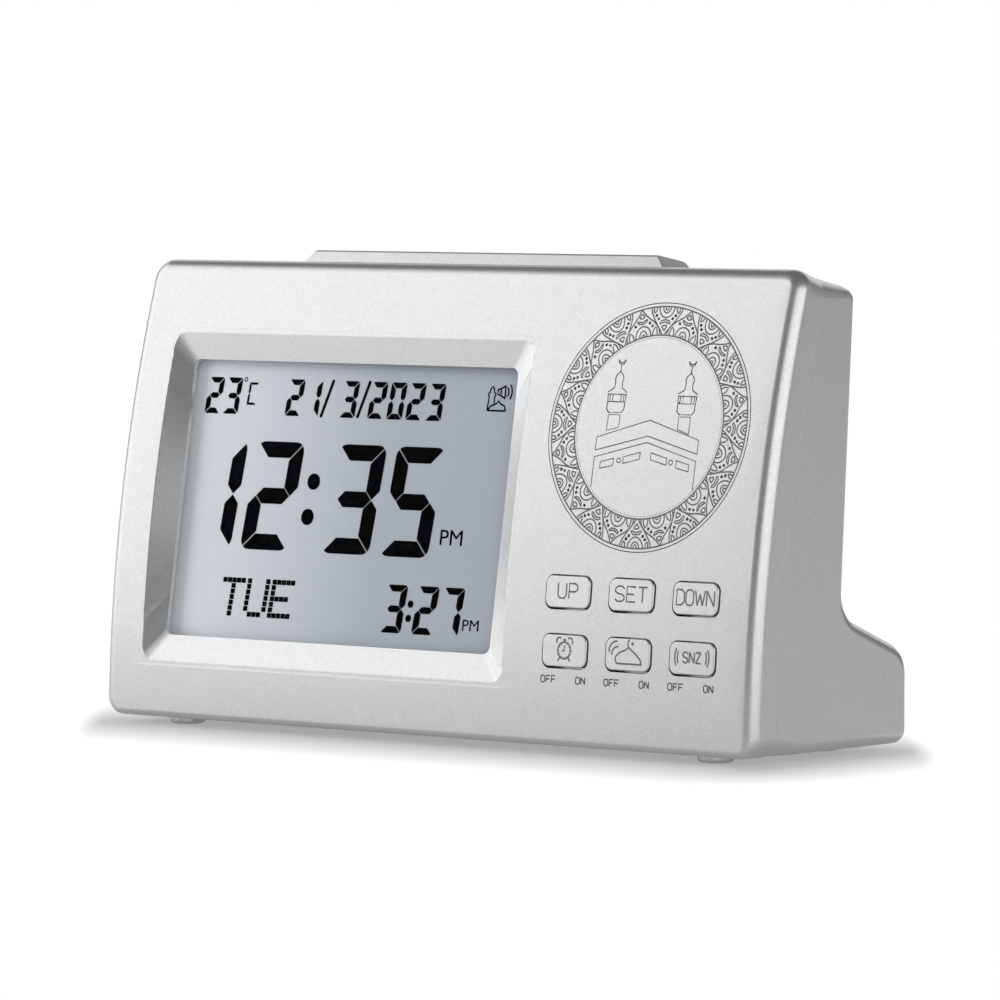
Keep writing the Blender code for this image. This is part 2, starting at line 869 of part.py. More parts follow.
def window_cutter():
    """Sloping walls from the recess's outline on the face down to the window, then straight through."""
    inner = half_outline(window_width / 2, -window_height / 2, window_height / 2, window_corner)
    outer = half_outline(window_width / 2 + recess_side_border, -window_height / 2 - recess_end_border,
                         window_height / 2 + recess_end_border, recess_corner)
    outside, inside = [], []
    for (xi, yi, *_), (xo, yo, *_) in zip(inner, outer):
        arc = yo / face_arc_radius
        on_face = (xo, face_arc_radius * math.sin(arc), window_depth - face_arc_radius * (1 - math.cos(arc)))
        inside.append((xi, yi, 0.0))
        outside.append([a + (b - a) * recess_cutter_share for a, b in zip(inside[-1], on_face)])
    through = [(x, y, -rim_frame_back - overrun) for x, y, _ in inside]
    return loft([mirrored_ring(outside), mirrored_ring(inside), mirrored_ring(through)], cap="strips")


def case_boss(x, v):
    """Boss inside the bezel that takes a case screw."""
    back, height = boss_meeting(v)
    wall_back, _ = face_arc(v, face_wall / 2)
    return moved(cylinder(boss_radius, wall_back - back, 0.0, lathe_steps), rearward_axis(x, back, height))


def case_pilot(x, v):
    back, height = boss_meeting(v)
    hole = cylinder(case_screw_shank + thread_gap, -case_screw_engagement - 2 * seat_gap, overrun)
    return moved(hole, rearward_axis(x, back, height))


def bar_opening_cutter():
    """Opening in the top, across the seam, that the snooze bar moves in."""
    half = bar_half_length + bar_gap
    return case_box(-half, half, bar_front - bar_gap, bar_back + bar_gap, bar_bottom,
                    top_line(bar_front) + overrun)


def make_rear_case():
    """Rear shell with its base block, battery bay, bosses, shelf, speaker seat and grille."""
    case = add_piece("rear_case", case_solid(0.0, seam_depth))
    cut_from(case, case_solid(wall, seam_depth - overrun))
    half = bay_half_length + bay_wall
    bay = add_piece("bay", case_box(-half, half, bay_front - bay_wall, base_depth, wall / 2, roof_high))
    combine(bay, add_piece("limit", case_solid(wall / 2, seam_depth)), "INTERSECT")
    combine(case, bay, "UNION")
    for x, v in case_screw_places():
        join_to(case, rear_boss(x, v))
    add_shelf(case)
    axes = speaker_frame_axes()
    join_to(case, speaker_rib_body(), axes)
    pilot = small_shank_radius + thread_gap
    for x in speaker_screw_offsets():
        join_to(case, shifted(cylinder(pilot + bay_wall, -fuse, speaker_rib_height), x), axes)
    void = add_piece("void", case_box(-bay_half_length, bay_half_length, bay_front, base_depth, -overrun,
                                      roof_low))
    combine(void, add_piece("limit", bay_limit()), "INTERSECT")
    combine(case, void, "DIFFERENCE")
    cut_from(case, case_box(-opening_half_length, opening_half_length, bay_front, opening_rear, -overrun,
                            wall + seat_gap / 2))
    for side in (-1, 1):
        centre = side * door_tab_x
        half = door_tab_width / 2 + seat_gap
        cut_from(case, case_box(centre - half, centre + half, bay_front - bay_wall - overrun,
                                bay_front + overrun, wall, wall + door_tab_room))
    for x, v in case_screw_places():
        cut_from(case, rear_screw_cutter(x, v))
    for x in speaker_screw_offsets():
        cut_from(case, shifted(cylinder(pilot, -wall / 2, speaker_rib_height + overrun), x), axes)
    cut_from(case, merged(grille_cutters()), axes)
    cut_from(case, merged([moved(cylinder(foot_peg_radius + seat_gap, -overrun, foot_socket),
                                 Matrix.Translation(place(x, back + foot_peg_offset, 0.0)))
                           for x, back in foot_places()]))
    cut_from(case, bar_opening_cutter())
    return dress(case, silver)


def add_shelf(case):
    """Shelf under the snooze board, with a stop at each end of the board."""
    front = bar_front + snooze_board_inset
    back = back_wall(shelf_top) - wall / 2
    inner = snooze_board_half + seat_gap
    outer = inner + shelf_stop
    join_to(case, case_box(-outer, outer, front, back, shelf_top - shelf_thickness, shelf_top))
    for ends in ((-outer, -inner), (inner, outer)):
        join_to(case, case_box(*ends, front, back, shelf_top - fuse, shelf_top + board_thickness))


def bay_limit():
    """The case's inside, open downwards, which the bay can't grow past."""
    solid = case_solid(wall, seam_depth)
    lowest = min(v.co.z for v in solid.verts)
    for v in solid.verts:
        if v.co.z < lowest + fuse:
            v.co.z = lowest - wall - 2 * overrun
    return finish_mesh(solid)


def rear_boss(x, v):
    """Boss inside the rear case that carries a case screw's head."""
    back, height = boss_meeting(v)
    start = back + seat_gap
    end = back_wall(height) - wall / 2
    return moved(cylinder(boss_radius, 0.0, end - start, lathe_steps), rearward_axis(x, start, height))


def rear_screw_cutter(x, v):
    """Screw hole and the wide bore that lets the head in from the back."""
    back, height = boss_meeting(v)
    floor = back + seat_gap + screw_floor
    far = base_depth - floor
    profile = [(0, -screw_floor - overrun), (case_screw_shank + thread_gap, -screw_floor - overrun),
               (case_screw_shank + thread_gap, 0.0), (counterbore_radius, 0.0),
               (counterbore_radius, far), (0, far)]
    return moved(lathe(profile, small_lathe_steps), rearward_axis(x, floor, height))


def speaker_frame_axes():
    """Local axes on the back wall's inner side, +Z pointing into the case."""
    height = face_height * speaker_rise_share
    inside = back_wall(height) - wall / math.cos(back_lean)
    return leaning_frame(place(keys_x, inside, height), back_lean)


def speaker_rib_body():
    inner = speaker_radius + seat_gap
    return lathe([(inner, -fuse), (inner + speaker_rib, -fuse), (inner + speaker_rib, speaker_rib_height),
                  (inner, speaker_rib_height)], 2 * lathe_steps)


def speaker_screw_offsets():
    reach = speaker_radius + seat_gap + speaker_rib + small_shank_radius + thread_gap
    return [-reach, reach]


def grille_cutters():
    """Round sound holes in rings about the speaker's centre."""
    holes = []
    for ring in range(grille_rings + 1):
        count = max(1, 6 * ring)
        for k in range(count):
            angle = math.pi * (2 * k + ring % 2) / count
            radius = grille_pitch * ring
            hole = cylinder(grille_hole_radius, -wall - overrun, overrun, hole_steps)
            holes.append(shifted(hole, radius * math.cos(angle), radius * math.sin(angle)))
    return holes


def foot_places():
    x = case_width / 2 - foot_side_inset
    return [(side * x, back) for back in (foot_front, base_depth - foot_rear_inset) for side in (-1, 1)]


def make_window_pane():
    """Clear pane, raised in the middle so that its front nearly fills the window."""
    pane = add_piece("window_pane", box(-pane_half_x, pane_half_x, -pane_half_u, pane_half_u,
                                        -pane_back, -pane_front), matrix=window_frame)
    raised = rounded_rectangle(window_width / 2 - pane_side_gap, window_height / 2 - pane_side_gap,
                               window_corner)
    join_to(pane, prism(raised, -pane_back + pane_flange / 2, -pane_sink), window_frame)
    return dress(pane, clear_plastic)


def make_lcd_glass():
    """Two glass sheets; the front one is taller and carries the contact edge."""
    side = [(-glass_half_u, -glass_front), (glass_top, -glass_front), (glass_top, -glass_split),
            (glass_half_u, -glass_split), (glass_half_u, -glass_back), (-glass_half_u, -glass_back)]
    rings = [[(x, y, z) for y, z in side] for x in (-glass_half_x, glass_half_x)]
    return add_piece("lcd_glass", loft(rings), lcd_grey, window_frame)


def make_light_guide():
    high = window_height / 2 + guide_margin
    left = -glass_half_x
    right = window_width / 2 + guide_led_side
    body = box(left, right, -high, high, -guide_back, -guide_front)
    return add_piece("light_guide", body, guide_white, window_frame)


def ears(half_x, low, high):
    """Plate outline with a square ear at each display screw."""
    right = [(half_x, -low)]
    for y in (-lower_ear_drop, upper_ear_rise):
        right += [(half_x, y - ear_radius), (ear_x + ear_radius, y - ear_radius),
                  (ear_x + ear_radius, y + ear_radius), (half_x, y + ear_radius)]
    right.append((half_x, high))
    return right + [(-x, y) for x, y in reversed(right)]


def make_display_tray():
    """Open-fronted tray that holds the glass and light guide against the bezel's frame."""
    tray = add_piece("display_tray", box(-tray_half_x, tray_half_x, -tray_low, tray_high, -tray_back,
                                         -tray_front), matrix=window_frame)
    lugs = []
    for x, y in display_ears():
        ends = sorted((math.copysign(tray_half_x - tray_wall / 2, x), x + math.copysign(ear_radius, x)))
        lugs.append(box(*ends, y - ear_radius, y + ear_radius, -tray_back, -tray_back + ear_thickness))
    join_to(tray, merged(lugs), window_frame)
    inner_x = glass_half_x + seat_gap
    floor = -tray_back + tray_floor
    cut_from(tray, box(-inner_x, inner_x, -glass_half_u - seat_gap, glass_top + seat_gap, floor, 0.0),
             window_frame)
    slots = [(0.0, contact_strip_centre(), strip_length, strip_thickness)]
    slots += [(led_x(), y, led_width, led_length) for y in (-led_rise, led_rise)]
    cuts = []
    for x, y, width, height in slots:
        half_x, half_y = width / 2 + seat_gap, height / 2 + seat_gap
        cuts.append(box(x - half_x, x + half_x, y - half_y, y + half_y, -tray_back - overrun,
                        floor + overrun))
    for x, y in display_ears():
        cuts.append(shifted(cylinder(small_shank_radius + thread_gap, -tray_back - overrun,
                                     -tray_back + ear_thickness + overrun), x, y))
    cut_from(tray, merged(cuts), window_frame)
    return dress(tray, frame_white)


def contact_strip_centre():
    """Local Y of the rubber strip, under the front glass's contact edge."""
    return (glass_half_u + glass_top) / 2 + seat_gap / 2


def led_x():
    return window_width / 2 + guide_led_side + seat_gap + led_width / 2


def make_contact_strip():
    y = contact_strip_centre()
    body = box(-strip_length / 2, strip_length / 2, y - strip_thickness / 2, y + strip_thickness / 2,
               -main_board_front + seat_gap, -glass_split - seat_gap)
    return add_piece("contact_strip", body, strip_pink, window_frame)


def make_main_board():
    board = add_piece("main_board", prism(ears(main_board_half_x, main_board_drop, main_board_high),
                                          -main_board_back, -main_board_front), matrix=window_frame)
    holes = [shifted(cylinder(small_shank_radius + thread_gap, -main_board_back - overrun,
                              -main_board_front + overrun), x, y) for x, y in display_ears()]
    cut_from(board, merged(holes), window_frame)
    return dress(board, board_green)


def make_board_parts():
    """Controller, crystal, capacitor and thermistor on the main board's back, and the two lamps in front."""
    face = -main_board_back - seat_gap
    half_length = crystal_length / 2
    blob = dome_profile(chip_radius, chip_height, -chip_height) + [(0, 0.0)]
    crystal = [(0, -half_length), (crystal_radius - part_edge, -half_length),
               (crystal_radius, part_edge - half_length), (crystal_radius, half_length), (0, half_length)]
    can = [(0, -cap_height), (cap_radius - part_edge, -cap_height), (cap_radius, part_edge - cap_height),
           (cap_radius, 0.0), (0, 0.0)]
    bead = dome_profile(thermistor_radius, thermistor_radius, -2 * thermistor_radius)
    bead += [(radius, -2 * thermistor_radius - height) for radius, height in reversed(bead[:-1])]
    spots = (("controller_cap", blob, (0.0, chip_rise, face)),
             ("buffer_capacitor", can, (-part_spacing, chip_rise, face)),
             ("thermistor", bead, (thermistor_inset - main_board_half_x, thermistor_inset - main_board_drop,
                                   face)))
    for name, profile, spot in spots:
        add_piece(name, lathe(profile), epoxy_black, window_frame @ Matrix.Translation(spot))
    lying = Matrix.Translation((part_spacing, chip_rise, face - crystal_radius))
    lying = lying @ Matrix.Rotation(math.pi / 2, 4, "X")
    add_piece("quartz_crystal", lathe(crystal, small_lathe_steps), bright_metal, window_frame @ lying)
    for number, y in enumerate((-led_rise, led_rise), 1):
        lamp = box(-led_width / 2, led_width / 2, -led_length / 2, led_length / 2, 0.0, led_height)
        spot = Matrix.Translation((led_x(), y, -main_board_front + seat_gap))
        add_piece(f"backlight_led_{number}", lamp, guide_white, window_frame @ spot)


def screw(head_radius, head_height, shank_radius, shank_length):
    """Form of a pan-head screw along local Z with a cross recess. Its origin is under the head."""
    profile = [(0, -shank_length), (shank_radius * tip_share, -shank_length),
               (shank_radius, shank_radius - shank_length), (shank_radius, 0.0), (head_radius, 0.0),
               (head_radius, head_height * head_rim_share), (head_radius * head_top_share, head_height),
               (0, head_height)]
    piece = add_piece("screw", lathe(profile, small_lathe_steps))
    arm = head_radius * drive_reach_share
    half = drive_width / 2
    cross = [(arm, -half), (arm, half), (half, half), (half, arm), (-half, arm), (-half, half),
             (-arm, half), (-arm, -half), (-half, -half), (-half, -arm), (half, -arm), (half, -half)]
    cut_from(piece, prism(cross, head_height - drive_depth, head_height + overrun))
    return form_of(dress(piece, bright_metal))


def form_of(piece):
    """Mesh of a piece that several objects will share, with the piece itself removed."""
    mesh = piece.data
    bpy.data.objects.remove(piece)
    return mesh


def make_screws():
    """Screws of the case, the display tray, the key board and the speaker."""
    large = screw(case_screw_head, case_screw_head_height, case_screw_shank,
                  screw_floor + 2 * seat_gap + case_screw_engagement)
    for number, (x, v) in enumerate(case_screw_places(), 1):
        back, height = boss_meeting(v)
        put(f"case_screw_{number}", large, rearward_axis(x, back + 2 * seat_gap + screw_floor, height))
    turned = Matrix.Rotation(math.pi, 4, "X")
    through = board_thickness + seat_gap + small_engagement
    display = screw(small_head_radius, small_head_height, small_shank_radius,
                    through + ear_thickness + seat_gap)
    for number, (x, y) in enumerate(display_ears(), 1):
        spot = Matrix.Translation((x, y, -main_board_back - seat_gap))
        put(f"display_screw_{number}", display, window_frame @ spot @ turned)
    short = screw(small_head_radius, small_head_height, small_shank_radius, through)
    for number, side in enumerate((-1, 1), 1):
        spot = Matrix.Translation((side * key_boss_x, 0.0, -key_board_back - seat_gap))
        put(f"key_board_screw_{number}", short, key_frame @ spot @ turned)
    clamp = screw(speaker_screw_head, small_head_height, small_shank_radius,
                  speaker_flange + seat_gap + wall / 2)
    for number, x in enumerate(speaker_screw_offsets(), 1):
        spot = Matrix.Translation((x, 0.0, speaker_rib_height + seat_gap))
        put(f"speaker_screw_{number}", clamp, speaker_frame_axes() @ spot)


def make_key_mesh():
    """Key cap along local Z with its flange and stem behind the face wall. Its origin is on the face."""
    half_x, half_y = key_width / 2, key_height / 2
    rings = []
    for height, inset in ((-key_flange_front - fuse, 0.0), (key_proud - key_edge, 0.0),
                          (key_proud - key_edge * soft_edge_share, key_edge * soft_edge_share),
                          (key_proud, key_edge)):
        outline = rounded_rectangle(half_x - inset, half_y - inset, key_corner - inset)
        rings.append([(x, y, height) for x, y in outline])
    piece = add_piece("key", loft(rings))
    flange = rounded_rectangle(half_x + key_flange, half_y + key_flange, key_corner)
    join_to(piece, prism(flange, -key_flange_back, -key_flange_front))
    join_to(piece, cylinder(key_stem_radius, -key_stem_end, -key_flange_back + fuse))
    return form_of(dress(piece, silver))


def make_keys():
    mesh = make_key_mesh()
    for name, x, v in key_places():
        put(name, mesh, leaning_frame(face_point(x, v), face_lean(v)))


def make_key_mat():
    """Rubber sheet with a dome under each key's stem."""
    sheet = box(-mat_half_x, mat_half_x, -mat_half_y, mat_half_y, -mat_back, -mat_front)
    mat = add_piece("key_mat", sheet, matrix=key_frame)
    root = -mat_front - mat_thickness / 2
    domes = []
    for _, x, v in key_places():
        dome = lathe([(0, root), (dome_base_radius, root), (dome_base_radius, -mat_front),
                      (dome_top_radius, -dome_top), (0, -dome_top)], small_lathe_steps)
        domes.append(shifted(dome, x - keys_x, v - keys_v))
    join_to(mat, merged(domes), key_frame)
    return dress(mat, rubber_grey)


def make_key_board():
    sheet = box(-key_board_half_x, key_board_half_x, -key_board_half_y, key_board_half_y, -key_board_back,
                -key_board_front)
    board = add_piece("key_board", sheet, matrix=key_frame)
    holes = [shifted(cylinder(small_shank_radius + thread_gap, -key_board_back - overrun,
                              -key_board_front + overrun), side * key_boss_x) for side in (-1, 1)]
    cut_from(board, merged(holes), key_frame)
    return dress(board, board_green)


def bar_section():
    """Snooze bar's outline from the side, front foot first, each point with the half length there."""
    front_top = bar_front + bar_rise * math.tan(bar_front_lean)
    crest = top_line(bar_front) + bar_rise
    chamfer_start = top_line(bar_front) - bar_chamfer_sink
    rear = crest - (bar_back - front_top) * math.tan(bar_top_slope)
    section = [(bar_front, bar_bottom), (bar_front, chamfer_start), (bar_front, top_line(bar_front)),
               (front_top, crest)]
    along = (math.cos(bar_top_slope), -math.sin(bar_top_slope))
    section += [point for point, _ in fillet((bar_back, rear), along, (0.0, -1.0), bar_back_round)]
    section += [(bar_back, chamfer_start), (bar_back, bar_bottom)]
    return [(back, height, bar_half_length - max(0.0, height - chamfer_start)) for back, height in section]


def make_snooze_bar():
    """Long button along the top, with sloping ends, pockets underneath and a flange at each end."""
    section = bar_section()
    bm = bmesh.new()
    left = add_ring(bm, [place(-half, back, height) for back, height, half in section])
    right = add_ring(bm, [place(half, back, height) for back, height, half in section])
    bridge(bm, left, right)
    for ring in (left, right):
        bm.faces.new((ring[0], ring[1], ring[-2], ring[-1]))
        bm.faces.new(ring[1:-1])
    bar = add_piece("snooze_bar", finish_mesh(bm))
    pad = bar_pad_half
    spans = ((pad, bar_spring_x - pad), (bar_spring_x + pad, bar_half_length - bar_chamfer_sink - bar_wall))
    pockets = []
    for low, high in spans:
        for x_low, x_high in ((low, high), (-high, -low)):
            pockets.append(case_box(x_low, x_high, bar_front + bar_wall, bar_back - bar_wall,
                                    bar_bottom - overrun, top_line(bar_back) - bar_roof + bar_chamfer_sink))
    cut_from(bar, merged(pockets))
    for side in (-1, 1):
        join_to(bar, bar_flange(side))
    bar.data.transform(Matrix.Translation(-bar_origin()))
    bar.location = bar_origin()
    return dress(bar, silver)


def bar_origin():
    """Point on the bar's line of travel, at its middle."""
    return place(0.0, bar_front + bar_depth / 2, bar_bottom)


def bar_flange(side):
    """Flange under the top wall that keeps the bar in the case."""
    front = bar_front + bar_flange_inset
    back = bar_back - bar_flange_inset
    section = [(front, bar_bottom), (back, bar_bottom), (back, top_wall_underside(back) - seat_gap),
               (front, top_wall_underside(front) - seat_gap)]
    xs = (side * (bar_half_length - bar_wall), side * (bar_half_length + bar_flange_length))
    return loft([[place(x, b, h) for b, h in section] for x in xs])


def make_snooze_board():
    low = snooze_board_top - board_thickness
    body = case_box(-snooze_board_half, snooze_board_half, bar_front + snooze_board_inset, bar_back,
                    low, snooze_board_top)
    return add_piece("snooze_board", body, board_green)


def make_snooze_dome():
    """Rubber dome that the bar's middle pad presses."""
    high = bar_spring_space - seat_gap
    body = lathe([(0, seat_gap), (snooze_dome_radius, seat_gap), (snooze_dome_radius, snooze_dome_foot),
                  (snooze_dome_top_radius, snooze_dome_shoulder), (snooze_dome_top_radius, high), (0, high)],
                 small_lathe_steps)
    spot = Matrix.Translation(place(0.0, bar_front + bar_depth / 2, snooze_board_top))
    return add_piece("snooze_dome", body, rubber_grey, spot)


def coil(name, start_radius, end_radius, wire, turns, length, matrix, material):
    """Wire spring along local Z as one unbroken tube, with its least gap between turns printed."""
    points = []
    rise = length - 2 * wire
    count = int(round(turns * coil_steps))
    for k in range(count + 1):
        share = k / count
        angle = 2 * math.pi * turns * share
        radius = start_radius + (end_radius - start_radius) * share
        points.append(Vector((radius * math.cos(angle), radius * math.sin(angle), wire + rise * share)))
    apart = coil_steps - 2
    least = min((a - b).length for i, a in enumerate(points) for b in points[i + apart:]) - 2 * wire
    print(f"{name}: least gap between turns {least * 1000:.2f} mm")
    curve = bpy.data.curves.new(name, "CURVE")
    curve.dimensions = "3D"
    curve.bevel_depth = wire
    curve.bevel_resolution = 1
    curve.use_fill_caps = True
    curve.render_resolution_u = 0
    spline = curve.splines.new("POLY")
    spline.points.add(count)
    for point, co in zip(spline.points, points):
        point.co = (*co, 1.0)
    curve.materials.append(material)
    return put(name, curve, matrix)


def make_bar_springs():
    for name, side in (("snooze_spring_left", -1), ("snooze_spring_right", 1)):
        spot = Matrix.Translation(place(side * bar_spring_x, bar_front + bar_depth / 2,
                                        snooze_board_top + seat_gap))
        coil(name, bar_spring_radius, bar_spring_radius, bar_spring_wire, bar_spring_turns,
             bar_spring_space - 2 * seat_gap, spot, bright_metal)


def make_cells():
    """Two cells side by side, end to end reversed. Each cell's nub is towards its local +Z."""
    low = -cell_length / 2
    shoulder = cell_length / 2 - cell_nub_length
    profile = [(0, low), (cell_radius - cell_edge, low), (cell_radius, low + cell_edge),
               (cell_radius, shoulder - cell_edge), (cell_radius - cell_edge, shoulder),
               (cell_nub_radius, shoulder), (cell_nub_radius, cell_length / 2), (0, cell_length / 2)]
    shift = spring_length / 2
    for name, back, side in (("cell_front", cell_front_centre, 1), ("cell_rear", cell_rear_centre, -1)):
        spot = Matrix.Translation(place(side * shift, back, cell_height))
        add_piece(name, lathe(profile), cell_wrap, spot @ Matrix.Rotation(side * math.pi / 2, 4, "Y"))


def make_contacts():
    """Plates and springs at the ends of the bay. One plate bridges both cells, two serve one cell each."""
    inner = bay_half_length - seat_gap
    low = door_thickness + 2 * seat_gap
    high = cell_height + plate_width / 2
    bridging = case_box(-inner, -inner + plate_thickness, cell_front_centre - plate_width / 2,
                        cell_rear_centre + plate_width / 2, low, high)
    add_piece("contact_bridge", bridging, spring_steel)
    for name, back in (("contact_positive", cell_front_centre), ("contact_negative", cell_rear_centre)):
        plate = case_box(inner - plate_thickness, inner, back - plate_width / 2, back + plate_width / 2,
                         low, high)
        add_piece(name, plate, spring_steel)
    face = inner - plate_thickness - seat_gap
    for name, back, side in (("cell_spring_front", cell_front_centre, -1),
                             ("cell_spring_rear", cell_rear_centre, 1)):
        spot = Matrix.Translation(place(side * face, back, cell_height))
        coil(name, spring_big_radius, spring_small_radius, spring_wire, spring_turns,
             spring_length - seat_gap, spot @ Matrix.Rotation(-side * math.pi / 2, 4, "Y"), spring_steel)


def door_hinge():
    """Point on the line that the battery door swings about: its lower front edge."""
    return place(0.0, bay_front + seat_gap, 0.0)


def make_battery_door():
    """Flush door under the bay: tabs hook over the floor in front, a tongue stands behind the rear ledge."""
    half = opening_half_length - seat_gap
    front = bay_front + seat_gap
    rear = opening_rear - seat_gap
    tab_low = wall + seat_gap
    tab_high = tab_low + door_tab_thickness
    door = add_piece("battery_door", case_box(-half, half, front, rear, 0.0, door_thickness))
    for side in (-1, 1):
        ends = (side * door_tab_x - door_tab_width / 2, side * door_tab_x + door_tab_width / 2)
        join_to(door, case_box(*ends, front, front + door_tab_root, door_thickness / 2, tab_high))
        join_to(door, case_box(*ends, bay_front - door_tab_reach, front + door_tab_root / 2,
                               tab_low, tab_high))
    tongue = rear - seat_gap
    join_to(door, case_box(-latch_half_width, latch_half_width, tongue - latch_thickness, tongue,
                           door_thickness / 2, door_thickness + latch_height))
    grip = rear - grip_inset
    cut_from(door, case_box(-grip_half_width, grip_half_width, grip - grip_length, grip, -overrun,
                            grip_depth))
    door.data.transform(Matrix.Translation(-door_hinge()))
    door.location = door_hinge()
    return dress(door, silver)


def make_feet():
    """Round pads under the case, each held by a peg that stands behind the seam."""
    pad = foot_height - seat_gap
    soft = foot_edge * soft_edge_share
    profile = [(0, 0.0), (foot_radius - foot_edge, 0.0), (foot_radius - soft, soft),
               (foot_radius, foot_edge), (foot_radius, pad), (0, pad)]
    foot = add_piece("foot", lathe(profile))
    join_to(foot, shifted(cylinder(foot_peg_radius, pad / 2, foot_height + foot_socket - seat_gap),
                          y=foot_peg_offset))
    mesh = form_of(dress(foot, foot_grey))
    names = ("foot_front_left", "foot_front_right", "foot_rear_left", "foot_rear_right")
    for name, (x, back) in zip(names, foot_places()):
        put(name, mesh, Matrix.Translation(place(x, back, -foot_height)))


def make_speaker():
    """Speaker with its open side to the grille: basket, paper cone and magnet."""
    axes = speaker_frame_axes()
    low = seat_gap
    depth = low + speaker_cup_depth
    add_piece("speaker_basket", speaker_basket(low, depth), basket_grey, axes)
    neck = low + cone_depth
    rim = low + seat_gap
    cone = dome_profile(cone_neck_radius, dust_cap_rise, neck - dust_cap_rise - cone_sheet)
    cone += [(cone_radius - cone_sheet, rim), (cone_radius, rim), (cone_radius, rim + cone_sheet),
             (cone_neck_radius, neck + cone_sheet), (0, neck + cone_sheet)]
    add_piece("speaker_cone", lathe(cone), paper_black, axes)
    near = depth + seat_gap
    far = near + magnet_height
    magnet = [(0, near), (magnet_radius, near), (magnet_radius, far - magnet_edge),
              (magnet_radius - magnet_edge, far), (0, far)]
    add_piece("speaker_magnet", lathe(magnet), bright_metal, axes)


def speaker_basket(low, depth):
    """Cup with a flat flange, hollow on the side of the cone."""
    inner_rim = cone_radius + 2 * cone_sheet
    profile = [(0, depth), (speaker_cup_radius, depth), (speaker_cup_top_radius, low + speaker_flange),
               (speaker_radius, low + speaker_flange), (speaker_radius, low), (inner_rim, low),
               (inner_rim, low + speaker_flange / 2),
               (speaker_cup_radius - speaker_sheet, depth - speaker_sheet), (0, depth - speaker_sheet)]
    return lathe(profile, 2 * small_lathe_steps)


for old in list(bpy.data.objects):
    bpy.data.objects.remove(old)

clock = bpy.data.objects.new("clock", None)
bpy.context.scene.collection.objects.link(clock)

silver = new_material("silver_plastic", (0.72, 0.73, 0.74), 0.42, 0.25)
clear_plastic = new_material("clear_plastic", (0.93, 0.95, 0.96), 0.05, alpha=0.3)
lcd_grey = new_material("lcd_glass", (0.62, 0.67, 0.72), 0.15)
guide_white = new_material("light_guide", (0.92, 0.94, 0.96), 0.25)
frame_white = new_material("tray_plastic", (0.85, 0.85, 0.83), 0.5)
strip_pink = new_material("strip_rubber", (0.75, 0.45, 0.45), 0.6)
board_green = new_material("circuit_board", (0.06, 0.28, 0.12), 0.4)
epoxy_black = new_material("epoxy", (0.02, 0.02, 0.02), 0.3)
bright_metal = new_material("plated_steel", (0.72, 0.72, 0.70), 0.28, 1.0)
spring_steel = new_material("nickel_strip", (0.70, 0.68, 0.62), 0.3, 1.0)
rubber_grey = new_material("grey_rubber", (0.35, 0.36, 0.38), 0.7)
foot_grey = new_material("foot_plastic", (0.66, 0.67, 0.68), 0.45, 0.2)
cell_wrap = new_material("cell_wrap", (0.12, 0.14, 0.20), 0.35)
basket_grey = new_material("speaker_basket", (0.45, 0.45, 0.46), 0.4, 0.8)
paper_black = new_material("cone_paper", (0.05, 0.05, 0.05), 0.8)

make_front_bezel()
make_window_pane()
make_lcd_glass()
make_light_guide()
make_display_tray()
make_contact_strip()
make_main_board()
make_board_parts()
make_keys()
make_key_mat()
make_key_board()
make_snooze_bar()
make_snooze_board()
make_snooze_dome()
make_bar_springs()
make_rear_case()
make_cells()
make_contacts()
make_battery_door()
make_feet()
make_speaker()
make_screws()
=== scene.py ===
"""Looks of a table clock: silver case, grey display, six engraved keys, a snooze bar and an engraved medallion.

Pieces on the face are laid out flat, X across, Z up and Y behind the surface, and then curved onto the face.
Pieces of the display are laid out the same way round the window's middle and then leaned into place.
"""

import math
from contextlib import contextmanager

import bmesh
import bpy
from mathutils import Matrix, Vector


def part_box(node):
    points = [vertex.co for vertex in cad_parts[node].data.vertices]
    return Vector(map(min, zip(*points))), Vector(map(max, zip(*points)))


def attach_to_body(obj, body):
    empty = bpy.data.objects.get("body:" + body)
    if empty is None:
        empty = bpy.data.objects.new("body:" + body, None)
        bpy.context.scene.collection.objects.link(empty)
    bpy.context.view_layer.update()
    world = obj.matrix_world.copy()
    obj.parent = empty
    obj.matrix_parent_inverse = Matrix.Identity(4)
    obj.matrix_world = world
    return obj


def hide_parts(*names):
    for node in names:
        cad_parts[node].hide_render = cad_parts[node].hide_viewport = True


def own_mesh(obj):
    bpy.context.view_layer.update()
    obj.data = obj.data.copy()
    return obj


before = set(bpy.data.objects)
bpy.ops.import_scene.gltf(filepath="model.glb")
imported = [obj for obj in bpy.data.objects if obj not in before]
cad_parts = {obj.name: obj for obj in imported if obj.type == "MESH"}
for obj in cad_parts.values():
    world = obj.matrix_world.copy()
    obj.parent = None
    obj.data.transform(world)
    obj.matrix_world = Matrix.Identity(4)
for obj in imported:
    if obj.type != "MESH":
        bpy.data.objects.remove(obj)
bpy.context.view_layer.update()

# Case, in metres
MM = 0.001
CASE_WIDTH = 0.150
FACE_HEIGHT = 0.0849
FACE_RADIUS = 0.2835
FACE_LEAN = math.radians(1.2)
FRONT_Y = -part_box("rear_case")[1].y
UNDERSIDE = 0.0015
BEZEL_DEPTH = 0.00616
SEAM_ROUND = 0.00018
LIP_THICKNESS = 0.0008
LIP_REACH = 0.0012
WALL = 0.0020
FACE_WALL = 0.0022
CORNER_ROUND = 0.0040
EDGE_ROUND = 0.0026
FOOT_EDGE_ROUND = 0.0012
GAP = 0.0003
TINY = 0.00001

